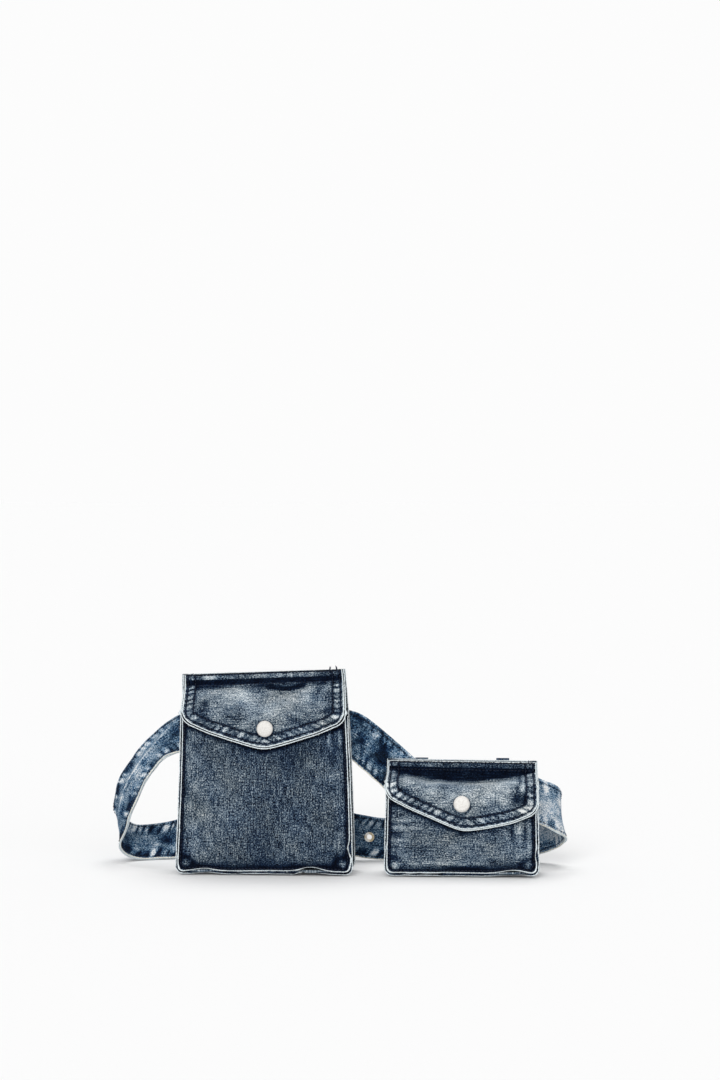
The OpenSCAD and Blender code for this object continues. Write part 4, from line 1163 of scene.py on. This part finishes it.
# %% Where the belt goes
# Sizes of the belt, its reach past the pouches, the buckle and the eyelets, as in the CAD model.
belt_wide, belt_gap, bar_r, eyelet_lip = 40, 54, 2, 0.6
reach_left, reach_right, pouch_gap, turn_lean = 70, 20, 28, 18
frame_len, frame_room, return_len, tip_len, tip_past, turn_bow = 32, 43, 34, 16, 33, 2.2
prong_at, eyelet_pitch, eyelet_half, tail_eyelets, gap_eyelet = 16, 25, 4.7, 2, 10
overall = reach_left + big.width + pouch_gap + small.width + reach_right
layer_r = bar_r + slack + belt_thick / 2
tail_rise = layer_r + belt_thick + eyelet_lip + slack
bar_y = big.y + depth + slack + belt_thick + belt_gap
front_run = big.y + depth + slack + belt_thick / 2
inner_y, outer_y = bar_y - layer_r, bar_y + layer_r
buckle_z, floor_z = frame_room / 2 + 2 * bar_r + 0.5, belt_wide / 2 + 0.4
left_edge, big_right, right_edge = big.x - big.width / 2, big.x + big.width / 2, small.x + small.width / 2
heel_x = big_right + gap_eyelet - prong_at - tail_eyelets * eyelet_pitch
tip_x = heel_x + prong_at - tail_eyelets * eyelet_pitch - tip_past
tail_in, tail_out, return_bend = 4, frame_len - 2, 15
run_left, ramp_top = big.x - big.loop_pitch / 2 - 22, big.x + big.loop_pitch / 2 + 14
ramp_low, run_right = small.x - small.loop_pitch / 2 + 4, small.x + small.loop_pitch / 2 + 10
left_x = -overall / 2 + belt_thick / 2 + belt_wide / 2 * math.sin(math.radians(turn_lean * 1.2)) + turn_bow - 5
right_x = overall / 2 - belt_thick / 2 + 2
high_z, low_z = big.belt_z, small.belt_z
print("buckle's heel bar at", round(heel_x, 1), round(bar_y, 1), "belt's tip at", round(tip_x, 1))

# %% [markdown]
# From the buckle the belt runs along the floor to the left turn, climbs to the big pouch's loops, slopes down to
# the small one's, turns right and comes back to the buckle. Four short functions name the places that repeat.

# %% The belt's turns
def mix(a, b, t):
    return a + (b - a) * t


def left(t, deep, rise, lean):
    return mix(left_edge, left_x, t), mix(front_run, outer_y, deep), mix(floor_z, high_z, rise), lean * turn_lean


def ramp(t, drop):
    return mix(ramp_top, ramp_low, t), front_run, mix(high_z, low_z, drop), 0


def turn_right(t, deep, z, lean):
    return mix(right_edge, right_x, t), mix(front_run, inner_y, deep), z, lean * turn_lean


def heel(u, v):
    return heel_x + u, bar_y + v, buckle_z, 0


turns = [(x, outer_y, buckle_z, 0) for x in (heel_x - 4, heel_x - 30, tip_x + 6)]
turns += [(tip_x - 8, outer_y, buckle_z - 0.5, 0), (left_edge - 4, outer_y, floor_z - 1.4, 1.5 * turn_lean),
          (left_edge - 26, outer_y - 2, floor_z - 4.1, 2.3 * turn_lean),
          (mix(left_edge, left_x, 0.77), outer_y - 11, floor_z - 3.6, 2.3 * turn_lean),
          left(0.97, 0.6, 9 / (high_z - floor_z), 1.2), left(0.9, 0.4, 0.36, -0.8), left(0.67, 0.3, 0.64, -2.4),
          left(0.34, 0.26, 0.87, -2.7), (left_edge + 1, front_run + 11, high_z - 2, -1.6 * turn_lean),
          (run_left, front_run + 1.6, high_z, -0.15 * turn_lean)]
turns += [(x, front_run, high_z, 0) for x in (run_left + 9, run_left + 20, big.x, ramp_top - 16)]
turns += [ramp(t, drop) for t, drop in ((0, -0.01), (0.07, -0.027), (0.17, -0.01), (0.275, 0.073), (0.55, 0.42),
                                        (0.8, 0.76), (1, 1))]
turns += [(x, front_run, low_z, 0) for x in (ramp_low + 16, small.x, run_right - 14, run_right)]
turns += [(right_edge - 16, front_run, low_z - 0.2, 0), (right_edge - 6, front_run + 1.8, low_z - 3, 0),
          turn_right(0.62, 0.2, low_z - 12, -0.3), turn_right(1, 0.5, mix(low_z, floor_z, 0.48), -0.5),
          turn_right(0.55, 0.84, mix(low_z, floor_z, 0.72), -0.3),
          (right_edge - 10, inner_y - 1, mix(low_z, floor_z, 0.9), 0)]
turns += [(x, inner_y, floor_z, 0) for x in (right_edge - 42, small.x, big_right + pouch_gap)]
turns += [(big_right, inner_y, mix(floor_z, buckle_z, 0.6), 0)]
turns += [(heel_x + frame_len + more, inner_y, buckle_z, 0) for more in (12, 3)]
print("belt drawn through", len(turns), "places")


# %% The belt's course
def rounded_course(points, steps=10):
    points, made = np.array(points, float), []
    ahead = np.concatenate([points[:1], points, points[-1:]])
    for a, b, c, d in zip(ahead, ahead[1:], ahead[2:], ahead[3:]):
        made += [0.5 * (2 * b + (c - a) * t + (2 * a - 5 * b + 4 * c - d) * t ** 2 + (3 * b - a - 3 * c + d) * t ** 3)
                 for t in np.arange(steps) / steps]
    return made


return_v = layer_r - belt_thick - 0.3
tail_slope = (tail_rise + layer_r) / (tail_out - tail_in)
course = [heel(mix(-return_len, -return_bend, k / 4), return_v) for k in range(5)]
course += [heel(mix(-return_bend, 0, t), mix(return_v, -layer_r, ease(0, 1, t))) for t in np.arange(1, 14) / 14]
course += [heel(layer_r * math.sin(a), -layer_r * math.cos(a)) for a in np.radians(range(0, 181, 9))]
course += rounded_course(turns)
course += [heel(u, tail_rise - (u - tail_in) * tail_slope)
           for u in (tail_out, prong_at + eyelet_half, prong_at - eyelet_half, tail_in)]
course += [(mix(heel_x - 2, tip_x, k / 40), bar_y + tail_rise, buckle_z, 0) for k in range(41)]
course = np.array(course, float)
far = reach_of(course[:, :3])
belt_long = far[-1]
print("belt course:", round(belt_long), "mm,", len(course), "points")

# %% [markdown]
# The strip is swept along that course. Its two edges rope into diagonal puckers, as they do when the stitched
# fold shrinks in the wash, and the left turn is creased lengthwise, as folded denim is. Where the belt lies in
# loops or in the buckle it is pressed flat, so that it slides without touching. A bevelled curve could sweep it
# as well, but it would come out smooth: here each point of the grid can be pushed on its own.

# %% Sweeping the belt
belt_seed, belt_step, crease_tall, loop_press = 201, 1.6, 3.4, 0.1
# How much of the strip next to its return and next to its tip lies in the buckle or the keeper.
heel_part, tail_part = 90, 150
fine = np.linspace(0, belt_long, int(belt_long / belt_step))
to_tip = belt_long - fine
line = taken_at(fine, far, course)
kernel = hump(np.arange(-3, 4), 0, 1.6)
line[3:-3] = np.stack([np.convolve(side, kernel / kernel.sum(), "valid") for side in line.T], -1)
rail, tilt = line[:, :3], np.radians(line[:, 3:])
x, y, z = rail.T
ahead = unit(np.gradient(rail, axis=0))
upward = unit(np.array([0, 0, 1]) - ahead * ahead[:, 2:])
outward = np.cross(ahead, upward)
across, through = upward * np.cos(tilt) + outward * np.sin(tilt), outward * np.cos(tilt) - upward * np.sin(tilt)
rung = ladder(belt_wide, 1.7, near=(0, 0.5, 1, 1.6, 2.4, 3.4, 4.6))
# s runs along the strip, and c across it from its middle.
s, c = np.meshgrid(fine, rung - belt_wide / 2)
edge, bottom, top = belt_wide / 2 - np.abs(c), c + belt_wide / 2, belt_wide / 2 - c
in_gap = np.abs(x - big_right - pouch_gap / 2) <= pouch_gap / 2 - 2
behind = (y < front_run + 6) & (x > left_edge + 4) & (x < right_edge + 8) & ~in_gap
buckled = (fine < return_len + heel_part) | (to_tip < tail_part)
free = np.convolve(np.where(behind | buckled, loop_press, 1.0), np.ones(31) / 31, "same")
rope = waves(s + 0.7 * c, 6.5, belt_seed)
push = free * (0.75 * rope * hump(edge, 4.2, 3.2) + 0.3 * waves(s - 0.35 * c, 11, belt_seed + 1) * ease(0, 8, edge))
crease = np.convolve(np.where((x < left_edge + 2) & (z > 40), 1.0, 0.0), np.ones(41) / 41, "same")
ridge = c - 1 - 12 * ease(left_edge - 32, left_edge + 2, x)
push += crease * (crease_tall * np.exp(-np.abs(ridge) / 7) - 1.3)
half = (belt_thick / 2 - 0.05) * np.sqrt(np.clip(1 - (1 - np.minimum(top, 1.15) / 1.15) ** 2, 0.04, 1))
half = half * (1 + free * 0.12 * rope * hump(edge, 4, 3)) - 0.25 * hump(edge, 3, 0.9) * free
tongue = np.sqrt(np.maximum(1 - (1 - np.minimum(to_tip / tip_len, 1)) ** 2, 0.09))
core = rail + across * (c * tongue)[..., None] + through * push[..., None]
print("belt grid:", core.shape[:2], "points, creased over", round(crease.sum() * belt_step), "mm")

# %% [markdown]
# Eyelet holes could be cut with a boolean, which leaves ragged faces in cloth. Instead the cells inside each hole
# go, and the points round them move onto a circle that the metal rim covers. The slot for the prong is cut where
# the belt wraps round the buckle's bar.

# %% Holes for the eyelets and the prong
eyelet_count, hole_r, rim_r, slot_half = 6, 3.3, 3.4, 3.2
# How far from the tip the tail's eyelets and the back run's eyelets are, in mm.
tail_eyelet_far, back_eyelet_near, back_eyelet_far = 110, 95, 330
holes = np.zeros((len(rung) - 1, len(fine) - 1), bool)
for k in range(eyelet_count):
    hole_x = heel_x + prong_at + (k - tail_eyelets) * eyelet_pitch
    if k > tail_eyelets:
        hole_y, layer = inner_y, (to_tip > back_eyelet_near) & (to_tip < back_eyelet_far)
    else:
        hole_y, layer = bar_y + tail_rise, to_tip < tail_eyelet_far
    if k == tail_eyelets:
        hole_y -= (prong_at - tail_in) * tail_slope
    at = np.argmin(np.where(layer, np.abs(x - hole_x) + np.abs(y - hole_y), np.inf))
    ds = s - fine[at] - (hole_x - x[at]) * np.sign(ahead[at, 0])
    dc = c if k > tail_eyelets else c - (buckle_z - z[at])
    near = np.hypot(ds, dc)
    gone = near[:-1, :-1] + near[:-1, 1:] + near[1:, :-1] + near[1:, 1:] < 4 * hole_r
    holes |= gone
    touched = sum(np.pad(gone, (up, side)).astype(int) for up in ((0, 1), (1, 0)) for side in ((0, 1), (1, 0)))
    move = np.where((touched > 0) & (touched < 4), rim_r / np.maximum(near, 0.1) - 1, 0)
    core += ahead * (ds * move)[..., None] + across * (dc * move)[..., None]
wrap = (fine > return_len - 10) & (fine < return_len + math.pi * layer_r + 1)
slot = np.abs(rung - belt_wide / 2) < slot_half
holes |= (slot[:-1] & slot[1:])[:, None] & (wrap[:-1] & wrap[1:])
print("belt cells left out:", holes.sum())

# %% [markdown]
# Acid washing leaves the belt in clouds. The puckers along both edges wash pale, the stitched lines between them
# stay dark, the turns are paler, and the slope between the pouches is the darkest part. On the left turn's crease
# a pale line along the ridge is a painted highlight, and the half below it is darkened with painted shade. A
# painted mask could place them, but it would need an image and an unwrapped mesh, so each is a zone along the
# course.

# %% The wear and painted light of the belt
sloping = hump(x, mix(ramp_top, ramp_low, 0.5), 36) * ease(front_run + 8, front_run + 2, y)
tone = 0.33 + 0.1 * ease(left_edge + 6, left_edge - 20, x) * ease(20, 60, z)
tone += 0.34 * ease(right_edge - 12, right_edge + 2, x) - 0.1 * sloping
roped = np.where(c > 0, patches(s + 0.5 * c, 7.5, belt_seed + 4), patches(s + 0.6 * c, 7, belt_seed + 5))
wash = tone + (0.14 + 0.1 * sloping) * clouds(s, c, 11, belt_seed + 2)
wash += (0.1 + 0.06 * sloping) * clouds(s, c, 5, belt_seed + 3)
wash += hump(edge, 6, 4) * (1.1 * roped - 0.34) * (1 - 0.45 * sloping) - 0.2 * hump(edge, 2.9, 1.0)
# The crease: a painted highlight along its ridge and painted shade in the hollow below it.
shaded_hollow = ease(1, -3, ridge) * ease(left_edge - 34, left_edge - 4, x)
wash += crease * (0.1 * clouds(s, c, 6, belt_seed + 6) + 0.36 * hump(ridge, 0, 1.0) - 0.18 * shaded_hollow)
# The left end of the back run is blotchier than the rest.
blotched = ease(left_edge + 30, left_edge, x) * ease(50, 34, z)
wash += blotched * (0.2 * clouds(s, c, 9, belt_seed + 8) + 0.3 * hump(edge, 6, 5) * (roped - 0.3) + 0.03)
wash = (wash + 0.1 * hump(top, 0, 1.2)).clip(0.03, 0.95)
print("belt washed to", wash.mean().round(2), "on average")

# %% [markdown]
# The strip starts at one raw edge, climbs to the fold on top, and comes down the other side, so its grid is the
# core twice: once pushed out and once, upside down, pushed back. Both rows of stitches show on both sides.

# %% Sewing the belt
stitch_in, tip_row, row_start, row_stop = 2.9, 3.2, 2, 12
belt_stitch = {"pitch": 3.6, "length": 2.9}
fray = np.clip(1 - bottom / 1.5, 0, 1)
skin = through * half[..., None]
uneven = across * (0.45 * ease(1.5, 0, bottom) * waves(s, 8, belt_seed + 7))[..., None]
face = np.concatenate([core + skin + uneven, (core - skin - uneven)[::-1]])
flat = np.concatenate([np.stack([c, s], -1), np.stack([belt_wide - c, s], -1)[::-1]])
wash, fray, layer = (np.concatenate([v, v[::-1]]) for v in (wash, fray, np.minimum(1.0, 0.85 * half)))
holes = np.concatenate([holes, np.zeros((1, len(fine) - 1), bool), holes[::-1]])
strap, _ = sew("belt_cloth", face, flat, wash, fray, layer, belt_layers, rims=(2, 0, 2, 2),
               reverse=0.3, holes=holes)
needle, away = Needle("belt", belt_seed), np.linspace(row_start, belt_long - row_stop, 2400)
ways = [np.broadcast_to(way, core.shape) for way in (through, across)]
for row in (stitch_in, belt_wide - stitch_in):
    for flip in (1, -1):
        needle.row(*spots(fine, rung, core + flip * skin, flip * ways[0])(away, row), **belt_stitch)
tip_line, = spots(fine, rung, core + skin)(belt_long - tip_row, np.linspace(stitch_in, belt_wide - stitch_in, 60))
needle.row(tip_line, through[-3], **belt_stitch)
rim, out, down = spots(fine, rung, core, *ways)(away, 0)
needle.fray(rim, -down, out, gap=1.6, length=0.8 * np.interp(away, fine, free) ** 2)
settle(strap, needle, "belt_strap", "belt")

# %% [markdown]
# The keeper is a narrow denim band round the belt and its tail, with its ends lapped on the side of the waist. A
# bevelled box would be too sharp for cloth, so its path has round corners, and the frame says how large it is.

# %% The keeper
keeper_wide, keeper_thick, keeper_r, keeper_seed = 10, 1.5, 2, 301
low, high = (1000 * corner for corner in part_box("belt_keeper"))
lap = (low.z + high.z) / 2
path = [(low.y - 0.5, lap - 8), (low.y - 0.2, lap - 10)]
for y, z, start in ((low.y + keeper_r, low.z + keeper_r, 180), (high.y - keeper_r, low.z + keeper_r, 270),
                    (high.y - keeper_r, high.z - keeper_r, 0), (low.y + keeper_r, high.z - keeper_r, 90)):
    path += [(y + keeper_r * np.cos(a), z + keeper_r * np.sin(a)) for a in np.radians(start + np.linspace(0, 90, 6))]
path = np.array(path + [(low.y, lap), (low.y, lap - 4)])
reach = reach_of(path)
us, vs = np.array([-1, -0.9, -0.7, -0.4, 0, 0.4, 0.7, 0.9, 1]), np.linspace(0, 1, int(reach[-1] / 0.9))
u, far = np.meshgrid(us, vs * reach[-1])
line = taken_at(far, reach, path)
face = np.stack([(low.x + high.x) / 2 - u * keeper_wide / 2, line[..., 0], line[..., 1]], -1)
wash = 0.2 + 0.24 * ease(0.5, 0.95, np.abs(u)) * (0.6 + 0.5 * waves(far, 4, keeper_seed))
wash = (wash + 0.08 * clouds(5 * u, far, 8, keeper_seed + 1)).clip(0.04, 0.9)
band, normal = sew("keeper_cloth", face, np.stack([5 * u, far], -1), wash, 0 * u, keeper_thick,
                   belt_layers, rims=(2, 0, 2, 0))
on, needle = spots(us, vs, face, normal), Needle("keeper", keeper_seed)
for side in (-0.62, 0.62):
    needle.row(*on(side, np.linspace(0.01, 0.99, 150)), **narrow_stitch)
settle(band, needle, "belt_keeper", "keeper")

# %% [markdown]
# Last, the box round every piece that is shown is printed, in mm.

# %% Sizes and finish
low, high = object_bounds()
print("visual box in mm:", [round(1000 * (b - a), 1) for a, b in zip(low, high)])
